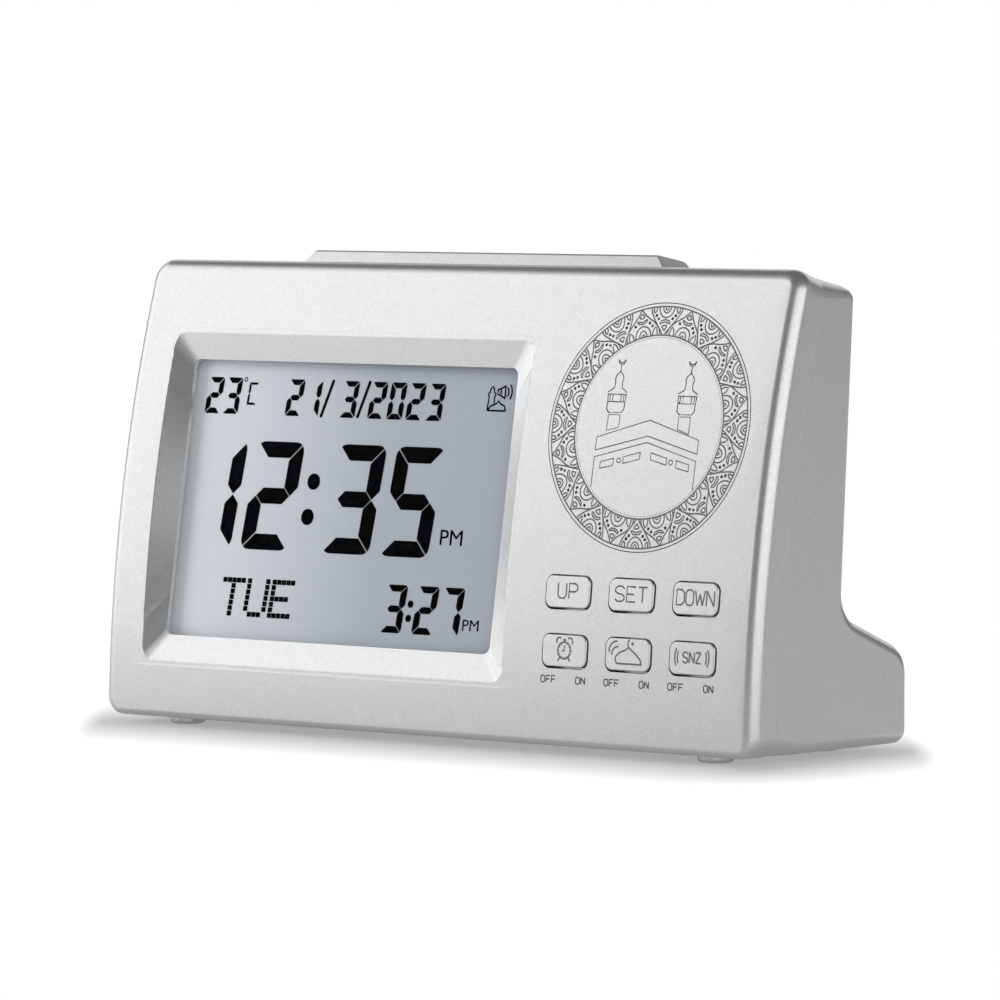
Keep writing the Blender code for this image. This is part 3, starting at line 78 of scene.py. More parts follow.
# Window and its sloping recess
WINDOW_HALF_X = 0.0382
WINDOW_HALF_Z = 0.02523
WINDOW_X = -0.023202
WINDOW_V = 0.040475
WINDOW_DEPTH = 0.00255
WINDOW_CORNER = 0.0014
RECESS_SIDE = 0.0043
RECESS_END = 0.0049
RECESS_CORNER = 0.0024
RECESS_LIP = 0.00015
RIM = 0.0009
RIM_BACK = 0.0020
PANE_MARGIN = 0.0014
GLASS_DEPTH = 0.0023

# Keys
KEYS_X = 0.04725
KEYS_V = 0.02162
KEY_PITCH_X = 0.0140
KEY_PITCH_V = 0.010196
KEY_HALF_X = 0.00486
KEY_HALF_Z = 0.00278
KEY_CORNER = 0.0014
KEY_PROUD = 0.0003
KEY_EDGE = 0.00022
KEY_GAP = 0.00028
KEY_LIFT = 0.00008
KEY_STEM = 0.0025
KEY_FLANGE = 0.0008
KEY_GROOVE = 0.00016
LEGEND_RAISE = 0.00015

# Snooze bar, its room in the front shell, and the rear shell's top corner
BAR_EDGE = 0.0004
BAR_ROOM_HALF = 0.04355
BAR_ROOM_GAP = 0.00035
BAR_ROOM_DEPTH = 0.01
TOP_BACK_ROUND = 0.0052
TOP_SLOPE = math.radians(14.5)
BACK_LEAN = math.radians(3.7)
TOP_DEPTH = 0.0090
BLOCK = 0.01

# Medallion
MEDAL_X = 0.046907
MEDAL_V = 0.05603
MEDAL_RADIUS = 0.0218
MEDAL_DEPTH = 0.0004
RING_INSIDE = 0.01566
RING_LOW = 0.0161
RING_LINE = 0.0212
GROOVE = 0.00012
FAN_GROOVE = 0.00014
CELL_GROOVE = 0.00025
CELL = 0.8
FANS = 12
RING_STEPS = 144

# Height of the strips that follow the face's curve, and radius of the printed strokes
STRIP = 0.0025
PRINT = 0.00013

# Display: slant of its digits, thickness of their ink and its depth in front of the glass
SLANT = 0.092
INK = 0.00003
INK_DEPTH = GLASS_DEPTH - 0.00004

# Camera
CAMERA_YAW = math.radians(39.74)
CAMERA_PITCH = math.radians(3.085)
CAMERA_DISTANCE = 1.19747
CAMERA_LENS = 248.206
CAMERA_TARGET = Vector((0.019296, FRONT_Y, 0.0437171))

# Lamps: azimuth, elevation, distance, width, height, power
LAMPS = {
    "key_light": (-63, 15, 1.2, 1.4, 1.3, 8.2), "back_light": (-150, 25, 1.2, 1.6, 0.7, 3.0),
    "right_light": (62, 17, 1.0, 1.6, 0.65, 4.4), "side_light": (132, 17, 1.2, 0.9, 0.5, 0.3),
}
LAMP_AIM = Vector((0, 0, 0.04))
ROOM_STRENGTH = 0.1

# Floor: how far from the clock it fades to plain white, and how bright metal sees it
FLOOR_FADE = (0.0, 0.036)
FLOOR_LEAST = 0.3
FLOOR_ACROSS = (0.0719, 9.0)
FLOOR_IN_METAL = 0.62
FLOOR_HALF = (0.075, 0.0225)


# Making and shaping pieces

def link(thing):
    bpy.context.scene.collection.objects.link(thing)
    return thing


def select_only(piece):
    bpy.ops.object.select_all(action="DESELECT")
    piece.select_set(True)
    bpy.context.view_layer.objects.active = piece


def begin(name, finishes, adding, scale=(1, 1, 1), **place):
    """Starts a piece from a primitive at its size and place."""
    bpy.ops.object.select_all(action="DESELECT")
    adding(**place)
    piece = bpy.context.view_layer.objects.active
    piece.name = piece.data.name = name
    piece.scale = scale
    for finish in finishes:
        piece.data.materials.append(finish)
    settle(piece)
    return piece


def dress(piece, finish):
    """Gives the whole piece one finish."""
    piece.data.materials.clear()
    piece.data.materials.append(finish)


def settle(piece, matrix=None):
    """Puts the piece's place and size in its mesh."""
    if matrix is not None:
        piece.matrix_world = matrix @ piece.matrix_world
    select_only(piece)
    bpy.ops.object.transform_apply(location=True, rotation=True, scale=True)


@contextmanager
def shaping(piece):
    """Edit mode on one piece."""
    select_only(piece)
    bpy.ops.object.mode_set(mode="EDIT")
    yield
    bpy.ops.object.mode_set(mode="OBJECT")


def select_all():
    bpy.ops.mesh.select_all(action="SELECT")


def select_none(kind):
    bpy.ops.mesh.select_mode(type=kind)
    bpy.ops.mesh.select_all(action="DESELECT")


def select_open_edges():
    select_none("EDGE")
    bpy.ops.mesh.select_non_manifold(extend=False)


def mark(piece, kind, test):
    """Selects the faces or edges whose middle and direction pass the test."""
    select_none(kind)
    mesh = bmesh.from_edit_mesh(piece.data)
    for face in mesh.faces if kind == "FACE" else ():
        face.select_set(bool(test(face.calc_center_median(), face.normal)))
    for edge in mesh.edges if kind == "EDGE" else ():
        a, b = (end.co for end in edge.verts)
        edge.select_set(bool(test((a + b) / 2, (b - a).normalized())))
    mesh.select_flush_mode()
    bmesh.update_edit_mesh(piece.data)


def mark_border(piece, inside, test):
    """Selects edges between an inside face and another, where the other and the edge's middle pass the test."""
    select_none("EDGE")
    mesh = bmesh.from_edit_mesh(piece.data)
    for edge in mesh.edges:
        faces = sorted(edge.link_faces, key=inside)
        if len(faces) == 2 and inside(faces[1]) and not inside(faces[0]):
            edge.select_set(test(faces[0], (edge.verts[0].co + edge.verts[1].co) / 2))
    bmesh.update_edit_mesh(piece.data)


def bevel(offset, segments, **settings):
    """Rounds the selected edges."""
    bpy.ops.mesh.bevel(offset=offset, segments=segments, **{"affect": "EDGES", **settings})


def extrude(move):
    bpy.ops.mesh.extrude_region_move(TRANSFORM_OT_translate={"value": move})


def finish_with(piece, kind, **settings):
    """Adds a modifier and applies it."""
    select_only(piece)
    change = piece.modifiers.new(kind.lower(), kind)
    for name, value in settings.items():
        setattr(change, name, value)
    bpy.ops.object.modifier_apply(modifier=change.name)


def carve(piece, cutter, operation="DIFFERENCE", crossing=False):
    """Cuts, adds or keeps what another piece covers; the cut takes the cutter's finish."""
    finish_with(piece, "BOOLEAN", object=cutter, operation=operation, solver="EXACT", material_mode="TRANSFER",
                use_self=crossing)
    bpy.data.objects.remove(cutter)


def copy_of(piece, matrix=None):
    """Copy with its own mesh, moved or sheared by the matrix."""
    copy = link(piece.copy())
    copy.data = piece.data.copy()
    if matrix is not None:
        copy.data.transform(matrix)
    return copy


def split_at_turns(line, degrees=100):
    """Parts of a line between its sharp turns, where a tube would pinch."""
    parts, start = [], 0
    for k in range(1, len(line) - 1):
        before, after = (Vector(line[j + 1]) - Vector(line[j]) for j in (k - 1, k))
        if before.length and after.length and before.angle(after) > math.radians(degrees):
            parts.append(line[start:k + 1])
            start = k
    return parts + [line[start:]]


def tubes(name, finish, lines, radius, matrix=None, flat=1.0):
    """Thin tubes along lines of (x, z) points in metres; flat is their depth as a share of their width."""
    path = bpy.data.curves.new(name, "CURVE")
    path.dimensions = "3D"
    path.bevel_depth = radius
    path.bevel_resolution = 0
    path.use_fill_caps = True
    for line in sum(map(split_at_turns, lines), []):
        closed = len(line) > 2 and line[0] == line[-1]
        points = line[:-1] if closed else line
        spline = path.splines.new("POLY")
        spline.points.add(len(points) - 1)
        spline.use_cyclic_u = closed
        for point, (x, z) in zip(spline.points, points):
            point.co = (x, z, 0, 1)
    select_only(link(bpy.data.objects.new(name, path)))
    bpy.ops.object.convert(target="MESH")
    piece = bpy.context.view_layer.objects.active
    dress(piece, finish)
    piece.data.transform(Matrix.Scale(flat, 4, (0, 0, 1)))
    piece.data.transform(Matrix.Rotation(math.pi / 2, 4, "X"))
    piece.data.transform(matrix or Matrix())
    outward(piece)
    return piece


def engrave(piece, lines, radius=GROOVE, matrix=None):
    """V-shaped grooves along lines in the front surface at Y zero; their walls take a darker finish, which is painted
    shade in the grooves.
    """
    carve(piece, tubes("groove_cutter", GROOVE_PAINTED_SHADE, lines, radius, matrix), crossing=True)


def joined(pieces, name):
    """One piece from several."""
    select_only(pieces[0])
    for piece in pieces:
        piece.select_set(True)
    if len(pieces) > 1:
        bpy.ops.object.join()
    pieces[0].name = pieces[0].data.name = name
    return pieces[0]


def outward(piece):
    """Merges doubled points and turns all faces outwards."""
    with shaping(piece):
        select_all()
        bpy.ops.mesh.remove_doubles(threshold=TINY / 10)
        bpy.ops.mesh.normals_make_consistent(inside=False)


def attach(piece, body, slot, *replaced):
    """Says which body a finished piece rides on, and the solid that it replaces, which is hidden; the slot is not used.
    """
    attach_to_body(piece, body)
    if replaced:
        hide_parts(*replaced)


def smooth(piece, degrees=30):
    select_only(piece)
    bpy.ops.object.shade_smooth_by_angle(angle=math.radians(degrees))
    finish_with(piece, "WEIGHTED_NORMAL", keep_sharp=True, weight=80)
    return piece


def up(v):
    """Flat Z of a distance up the face, counted so that the bend's middle is where Z is zero."""
    return FACE_RADIUS * FACE_LEAN + v


def face_lean(v):
    return FACE_LEAN + v / FACE_RADIUS


def face_point(x, v, depth=0.0):
    lean = face_lean(v)
    reach = FACE_RADIUS - depth
    return Vector((x, FRONT_Y + FACE_RADIUS * math.cos(FACE_LEAN) - reach * math.cos(lean),
                   UNDERSIDE + reach * math.sin(lean) - FACE_RADIUS * math.sin(FACE_LEAN)))


def leaning(origin, lean):
    """Frame that keeps X across, with Y behind a plane leaning back and Z up it."""
    return Matrix.Translation(origin) @ Matrix.Rotation(-lean, 4, "X")


def curve_onto_face(piece):
    """Bends a flat piece round the face's arc and moves it there."""
    heights = [point.co.z for point in piece.data.vertices]
    finish_with(piece, "SIMPLE_DEFORM", deform_method="BEND", deform_axis="X",
                angle=(max(heights) - min(heights)) / FACE_RADIUS)
    settle(piece, Matrix.Translation((0, FRONT_Y - FACE_RADIUS * (1 - math.cos(FACE_LEAN)),
                                      UNDERSIDE - FACE_RADIUS * math.sin(FACE_LEAN))))


WINDOW = leaning(face_point(WINDOW_X, WINDOW_V, WINDOW_DEPTH), face_lean(WINDOW_V))


def slab(name, finishes, half_x, half_z, corner, front, back, x=0.0, z=0.0, steps=8):
    """Plate facing forward with rounded corners, from front to back in Y."""
    plate = begin(name, finishes, bpy.ops.mesh.primitive_cube_add, size=1,
                  location=(x, (front + back) / 2, z), scale=(2 * half_x, back - front, 2 * half_z))
    if corner:
        with shaping(plate):
            mark(plate, "EDGE", lambda middle, along: abs(along.y) > 0.9)
            bevel(corner, steps)
    return plate


def disc(name, finish, radius, depth, location):
    """Round plate facing forward."""
    return begin(name, [finish], bpy.ops.mesh.primitive_cylinder_add, vertices=RING_STEPS, radius=radius,
                 depth=depth, location=location, rotation=(math.pi / 2, 0, 0))


def cut_in_strips(piece):
    """Lines across a flat piece, so that it can follow the face's curve."""
    heights = [point.co.z for point in piece.data.vertices]
    low, high = min(heights), max(heights)
    count = math.ceil((high - low) / STRIP)
    with shaping(piece):
        for k in range(1, count):
            select_all()
            bpy.ops.mesh.bisect(plane_co=(0, 0, low + (high - low) * k / count), plane_no=(0, 0, 1))


# Materials

def feed(tree, sockets, inputs):
    """Gives each input a value or the socket that feeds it."""
    for name, value in inputs.items():
        if isinstance(value, bpy.types.NodeSocket):
            tree.links.new(value, sockets[name])
        else:
            sockets[name].default_value = value


def node(tree, kind, inputs=None, **settings):
    """Adds a shader node."""
    made = tree.nodes.new("ShaderNode" + kind)
    for name, value in settings.items():
        setattr(made, name, value)
    feed(tree, made.inputs, inputs or {})
    return made


def maths(tree, operation, *terms, kind="Math", out=0):
    """Result of a Math node, or of a Vector Math one."""
    return node(tree, kind, dict(enumerate(terms)), operation=operation).outputs[out]


def vectors(tree, operation, *terms, out="Vector"):
    return maths(tree, operation, *terms, kind="VectorMath", out=out)


def remap(tree, value, source=(0.0, 1.0), target=(0.0, 1.0)):
    """Maps a range of a value onto another."""
    return node(tree, "MapRange", {"Value": value, "From Min": source[0], "From Max": source[1],
                                   "To Min": target[0], "To Max": target[1]}).outputs["Result"]


def own_place(tree):
    return node(tree, "TexCoord").outputs["Object"]


def noise(tree, place, scale, detail=2.0, roughness=0.5):
    return node(tree, "TexNoise", {"Vector": place, "Scale": scale, "Detail": detail,
                                   "Roughness": roughness}).outputs["Fac"]


def mixed(tree, share, a, b, **settings):
    return node(tree, "Mix", {"Factor": share, "A": a, "B": b}, data_type="RGBA", **settings).outputs["Result"]


def dimmed(tree, colour, share):
    """Colour multiplied by a value."""
    grey = node(tree, "CombineColor", {"Red": share, "Green": share, "Blue": share}).outputs[0]
    return mixed(tree, 1.0, colour, grey, blend_type="MULTIPLY")


def effect(name, inputs, outputs):
    """Empty node group with inputs (name: default) and outputs (name: socket type)."""
    group = bpy.data.node_groups.new(name, "ShaderNodeTree")
    for title, value in inputs.items():
        kind = "NodeSocketColor" if isinstance(value, tuple) else "NodeSocketFloat"
        group.interface.new_socket(title, in_out="INPUT", socket_type=kind).default_value = value
    for title, kind in outputs.items():
        group.interface.new_socket(title, in_out="OUTPUT", socket_type=kind)
    return group, group.nodes.new("NodeGroupInput").outputs, group.nodes.new("NodeGroupOutput").inputs


def make_flakes():
    """Metal flakes in paint or moulded plastic: each cell has its own brightness, over soft mottling."""
    group, given, out = effect(
        "flakes", {"Colour": (0.7, 0.7, 0.7, 1), "Flake size": 0.0003, "Contrast": 0.1, "Mottle": 0.03},
        {"Colour": "NodeSocketColor", "Height": "NodeSocketFloat"})
    place = own_place(group)
    scale = maths(group, "DIVIDE", 1.0, given["Flake size"])
    cells = node(group, "TexVoronoi", {"Vector": place, "Scale": scale}).outputs["Color"]
    shade = node(group, "SeparateColor", {"Color": cells}).outputs["Red"]
    flake = maths(group, "MULTIPLY", maths(group, "SUBTRACT", shade, 0.5), given["Contrast"])
    cloud = maths(group, "SUBTRACT", noise(group, place, 120.0, 3.0), 0.5)
    total = maths(group, "ADD", flake, maths(group, "MULTIPLY", cloud, given["Mottle"]))
    feed(group, out, {"Colour": dimmed(group, given["Colour"], maths(group, "ADD", total, 1.0)),
                      "Height": noise(group, place, scale)})
    return group


def make_dust():
    """Thin settled dust: a mask that grows on faces turned up and breaks into specks."""
    group, given, out = effect("settled_dust", {"Amount": 0.2, "Scale": 300.0}, {"Mask": "NodeSocketFloat"})
    turned = node(group, "NewGeometry").outputs["Normal"]
    rise = node(group, "SeparateXYZ", {"Vector": turned}).outputs["Z"]
    specks = remap(group, noise(group, own_place(group), given["Scale"], 6.0, 0.7), (0.42, 0.62))
    both = maths(group, "MULTIPLY", remap(group, rise, (0.3, 1.0)), specks)
    feed(group, out, {"Mask": maths(group, "MULTIPLY", both, given["Amount"])})
    return group


FLAKES = make_flakes()
DUST = make_dust()


def new_finish(name, colour, roughness, metallic=0.0, **plain):
    """Material with a Principled shader; plain are further values of its own sockets."""
    finish = bpy.data.materials.new(name)
    finish.use_nodes = True
    shader = finish.node_tree.nodes["Principled BSDF"]
    feed(finish.node_tree, shader.inputs, {
        "Base Color": (*colour, 1), "Roughness": roughness, "Metallic": metallic,
        **{title.replace("_", " "): value for title, value in plain.items()}})
    return finish, finish.node_tree, shader


def surface(tree, shader, skin, gloss, rough, height, strength, bump):
    """Connects colour, uneven gloss between two values, and relief."""
    relief = node(tree, "Bump", {"Height": height, "Strength": strength, "Distance": bump}).outputs["Normal"]
    feed(tree, shader.inputs, {"Base Color": skin, "Roughness": remap(tree, gloss, target=rough), "Normal": relief})


def silver(name, colour, roughness=0.33, metallic=0.8, dust=0.0):
    """Silver paint with fine flakes, slightly uneven gloss and, where asked, settled dust."""
    finish, tree, shader = new_finish(name, colour, roughness, metallic)
    paint = node(tree, "Group", {"Colour": (*colour, 1), "Flake size": 0.00022, "Contrast": 0.12}, node_tree=FLAKES)
    skin = paint.outputs["Colour"]
    if dust:
        film = node(tree, "Group", {"Amount": dust}, node_tree=DUST).outputs["Mask"]
        skin = mixed(tree, film, skin, (0.62, 0.61, 0.59, 1))
    surface(tree, shader, skin, noise(tree, own_place(tree), 900.0), (roughness - 0.05, roughness + 0.05),
            paint.outputs["Height"], 0.25, 0.00001)
    return finish


def grained(name, colour, roughness, metallic=0.0, scale=400.0, spread=0.12, bump=0.00002, **plain):
    """Moulded, pressed or printed surface with uneven colour, gloss and relief."""
    finish, tree, shader = new_finish(name, colour, roughness, metallic, **plain)
    grain = noise(tree, own_place(tree), scale, 5.0)
    low, high = (tuple(min(1.0, c * (1 + side * spread)) for c in colour) + (1,) for side in (-1, 1))
    surface(tree, shader, mixed(tree, grain, low, high), grain, (max(0.02, roughness - 0.08), roughness + 0.08),
            grain, 0.3, bump)
    return finish


SILVER = (0.74, 0.742, 0.745)
FRONT_PAINT = silver("front_silver", SILVER)
# Darker silver on the walls of grooves, engraved legends and the medallion's seat: painted shade where the hollows fall
# dark
GROOVE_PAINTED_SHADE = silver("groove_painted_shade", (0.34, 0.343, 0.348), roughness=0.6, metallic=0.2)
# Near-black finish on the walls of the key holes: painted shade in the gaps round the keys
PAINTED_GAP_SHADE = grained("painted_gap_shade", (0.05, 0.05, 0.052), 0.6)
REAR_PAINT = silver("rear_silver", (0.73, 0.732, 0.735), dust=0.15)
KEY_PAINT = silver("key_silver", SILVER, roughness=0.3)
BAR_PAINT = silver("bar_silver", (0.72, 0.722, 0.725), roughness=0.32, dust=0.1)
# Paler than the case's silver: painted light, making up for the feet being lit less under the case
FOOT_PLASTIC = silver("foot_silver_painted_light", (0.78, 0.782, 0.785), roughness=0.2)
PRINT_INK = grained("legend_ink", (0.16, 0.165, 0.17), 0.5, scale=2500.0)
SEGMENT_INK = grained("segment_ink", (0.002, 0.002, 0.0025), 0.6, scale=900.0, Specular_IOR_Level=0.0)
RECESS_PAINT = silver("recess_silver", SILVER)


def make_display_film():
    """Grey reflective display under its front film, with a painted reflection that makes it paler to the left, and a
    faint brushed grain.
    """
    finish, tree, shader = new_finish("display_film", (0.5, 0.55, 0.6), 0.55, Specular_IOR_Level=0.1)
    place = own_place(tree)
    along = node(tree, "SeparateXYZ", {"Vector": place}).outputs["X"]
    # Painted reflection: the display's colour runs from pale on the left to darker grey on the right
    ramp = node(tree, "ValToRGB", {"Fac": remap(tree, along, (WINDOW_X - WINDOW_HALF_X, WINDOW_X + WINDOW_HALF_X))})
    ramp.color_ramp.elements.new(0.6)
    painted_reflection_tones = ((0.90, 0.92, 0.95, 1), (0.51, 0.555, 0.60, 1), (0.49, 0.53, 0.58, 1))
    for stop, shade in zip(ramp.color_ramp.elements, painted_reflection_tones):
        stop.color = shade
    grain = remap(tree, noise(tree, place, 2500.0), target=(0.97, 1.03))
    feed(tree, shader.inputs, {"Base Color": dimmed(tree, ramp.outputs["Color"], grain)})
    return finish


def make_acrylic():
    """Clear pane that lets light through to the display behind it."""
    clear = (0.97, 0.98, 0.985)
    finish, tree, shader = new_finish("clear_acrylic", clear, 0.03, Transmission_Weight=1.0, IOR=1.05)
    path = node(tree, "LightPath").outputs["Is Shadow Ray"]
    through = node(tree, "BsdfTransparent", {"Color": (*clear, 1)}).outputs[0]
    pane = node(tree, "MixShader", {0: path, 1: shader.outputs[0], 2: through}).outputs[0]
    feed(tree, tree.nodes["Material Output"].inputs, {"Surface": pane})
    return finish


def numbered(title, count):
    return " ".join(f"{title}_{k}" for k in range(1, count + 1))


def dress_solids():
    """Finishes of the CAD solids, most of them inside the case."""
    for finish, nodes in (
            (grained("board_green", (0.03, 0.17, 0.07), 0.35, scale=700.0, spread=0.35),
             "main_board key_board snooze_board"),
            (grained("plated_steel", (0.62, 0.62, 0.60), 0.28, 1.0, scale=1500.0),
             "quartz_crystal snooze_spring_left snooze_spring_right cell_spring_front cell_spring_rear "
             + " ".join((numbered("speaker_screw", 2), numbered("case_screw", 4), numbered("display_screw", 4),
                         numbered("key_board_screw", 2)))),
            (grained("nickel_strip", (0.60, 0.57, 0.50), 0.3, 1.0, scale=900.0),
             "contact_bridge contact_positive contact_negative"),
            (grained("grey_rubber", (0.20, 0.21, 0.22), 0.75, scale=600.0), "key_mat snooze_dome"),
            (grained("cell_film", (0.03, 0.045, 0.09), 0.3, 0.3, scale=80.0, spread=0.3), "cell_front cell_rear"),
            (grained("pressed_grey_steel", (0.32, 0.32, 0.33), 0.4, 0.8), "speaker_basket speaker_magnet"),
            (grained("cone_paper", (0.025, 0.025, 0.025), 0.9, scale=1800.0, spread=0.4, bump=0.0001),
             "speaker_cone"),
            (grained("guide_white", (0.86, 0.88, 0.90), 0.3), "light_guide " + numbered("backlight_led", 2)),
            (grained("tray_plastic", (0.70, 0.70, 0.68), 0.55), "display_tray"),
            (grained("black_epoxy", (0.012, 0.012, 0.012), 0.35), "controller_cap buffer_capacitor thermistor"),
            (grained("strip_rubber", (0.45, 0.20, 0.20), 0.6, scale=2500.0, spread=0.6), "contact_strip"),
            (make_display_film(), "lcd_glass"), (make_acrylic(), "window_pane"),
            (REAR_PAINT, "rear_case battery_door"), (FRONT_PAINT, "front_bezel"), (BAR_PAINT, "snooze_bar"),
            (FOOT_PLASTIC, "foot_front_left foot_front_right foot_rear_left foot_rear_right"),
            (KEY_PAINT, "key_up key_set key_down key_alarm key_prayer key_snooze_switch")):
        for title in nodes.split():
            dress(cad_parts[title], finish)


def merged_copy(title, name, finish):
    """Copy of a solid with its points merged, so that its round parts shade smoothly."""
    copy = copy_of(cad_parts[title])
    copy.parent = None
    for key in list(copy.keys()):
        del copy[key]
    copy.name = copy.data.name = name
    dress(copy, finish)
    with shaping(copy):
        select_all()
        bpy.ops.mesh.remove_doubles(threshold=TINY / 10)
        bpy.ops.mesh.dissolve_limited(angle_limit=math.radians(0.5))
    return smooth(copy)


def soften_seam(rear):
    """Small round along the outer front edge of the rear shell, where it meets the front shell."""
    def outer(side, middle):
        away = Vector((middle.x, 0, middle.z - FACE_HEIGHT / 2))
        rim = abs(middle.x) > CASE_WIDTH / 2 - CORNER_ROUND or abs(away.z) > FACE_HEIGHT / 2 - CORNER_ROUND
        return rim and side.normal.dot(away) > 0 and abs(side.normal.y) < 0.6

    with shaping(rear):
        mark_border(rear, lambda face: face.normal.y < -0.9, outer)
        bevel(SEAM_ROUND, 2, clamp_overlap=True)


def round_top_back(rear):
    """Wide round where the top of the rear shell turns down into its back."""
    seam = face_point(0, FACE_HEIGHT, BEZEL_DEPTH)
    corner = seam + Vector((0, TOP_DEPTH, -TOP_DEPTH * math.tan(TOP_SLOPE)))
    away = Vector((0, math.cos(TOP_SLOPE) + math.sin(BACK_LEAN),
                   math.cos(BACK_LEAN) - math.sin(TOP_SLOPE))).normalized()
    half = (math.pi / 2 + TOP_SLOPE - BACK_LEAN) / 2
    centre = corner - away * TOP_BACK_ROUND / math.sin(half)
    block = begin("corner_block", [REAR_PAINT], bpy.ops.mesh.primitive_cube_add, size=1,
                  rotation=(math.atan2(away.z, away.y), 0, 0), scale=(2 * CASE_WIDTH, BLOCK, 3 * BLOCK),
                  location=centre + away * (TOP_BACK_ROUND * math.sin(half) + BLOCK / 2))
    rod = begin("corner_rod", [REAR_PAINT], bpy.ops.mesh.primitive_cylinder_add, vertices=96,
                radius=TOP_BACK_ROUND, depth=3 * CASE_WIDTH, location=centre, rotation=(0, math.pi / 2, 0))
    carve(block, rod)
    carve(rear, block)


# Front shell

def window_ring(half_x, half_z, corner):
    """Outline of the window or of its recess, flat, with the same count of points for both."""
    ring = begin("window_outline", [RECESS_PAINT], bpy.ops.mesh.primitive_plane_add, size=1,
                 rotation=(math.pi / 2, 0, 0), scale=(2 * half_x, 2 * half_z, 1))
    with shaping(ring):
        select_all()
        bevel(corner, 6, affect="VERTICES")
        bpy.ops.mesh.delete(type="ONLY_FACE")
        mark(ring, "EDGE", lambda middle, along: abs(along.z) > 0.999)
        bpy.ops.mesh.subdivide(number_cuts=23)
    return ring


def window_cutter():
    """Sloping recess from the face down to the window, then straight through."""
    outer = window_ring(WINDOW_HALF_X + RECESS_SIDE, WINDOW_HALF_Z + RECESS_END, RECESS_CORNER)
    settle(outer, Matrix.Translation((WINDOW_X, 0, up(WINDOW_V))))
    curve_onto_face(outer)
    inner = window_ring(WINDOW_HALF_X, WINDOW_HALF_Z, WINDOW_CORNER)
    settle(inner, WINDOW)
    back = WINDOW.to_3x3() @ Vector((0, 4 * RIM_BACK, 0))
    with shaping(inner):
        select_all()
        extrude(back)
        bpy.ops.mesh.edge_face_add()
    with shaping(outer):
        select_all()
        extrude((0, -RIM_BACK, 0))
        bpy.ops.transform.resize(value=(1.03, 1, 1.03))
        bpy.ops.mesh.edge_face_add()
    cutter = joined([outer, inner], "window_cutter")
    with shaping(cutter):
        select_open_edges()
        bpy.ops.mesh.bridge_edge_loops()
    outward(cutter)
    return cutter


def soften_lip(shell):
    """Small round along the edge where the recess leaves the face."""
    recess = shell.data.materials.find(RECESS_PAINT.name)
    with shaping(shell):
        mark_border(shell, lambda face: face.material_index == recess, lambda face, middle: face.normal.y < -0.8)
        bevel(RECESS_LIP, 2, clamp_overlap=False)


def key_places():
    """Name, body, X and distance up the face of the six keys."""
    titles = (("key_up", "up_key"), ("key_set", "set_key"), ("key_down", "down_key"),
              ("key_alarm", "alarm_key"), ("key_prayer", "prayer_key"), ("key_snooze_switch", "snooze_key"))
    return [(*titles[3 * row + column], KEYS_X + (column - 1) * KEY_PITCH_X,
             KEYS_V + (1 - 2 * row) * KEY_PITCH_V / 2) for row in range(2) for column in range(3)]


def make_lip():
    """Thin rib inside the case that closes the seam from within."""
    half_x, half_z = CASE_WIDTH / 2 - WALL + TINY, FACE_HEIGHT / 2 - WALL + TINY
    lip = slab("lip", [FRONT_PAINT], half_x, half_z, CORNER_ROUND / 2, BEZEL_DEPTH - 2 * LIP_REACH,
               BEZEL_DEPTH + LIP_REACH, z=up(FACE_HEIGHT / 2))
    with shaping(lip):
        mark(lip, "FACE", lambda middle, facing: abs(facing.y) > 0.9)
        bpy.ops.mesh.inset(thickness=LIP_THICKNESS)
        bpy.ops.mesh.bridge_edge_loops()
    cut_in_strips(lip)
    curve_onto_face(lip)
    return lip


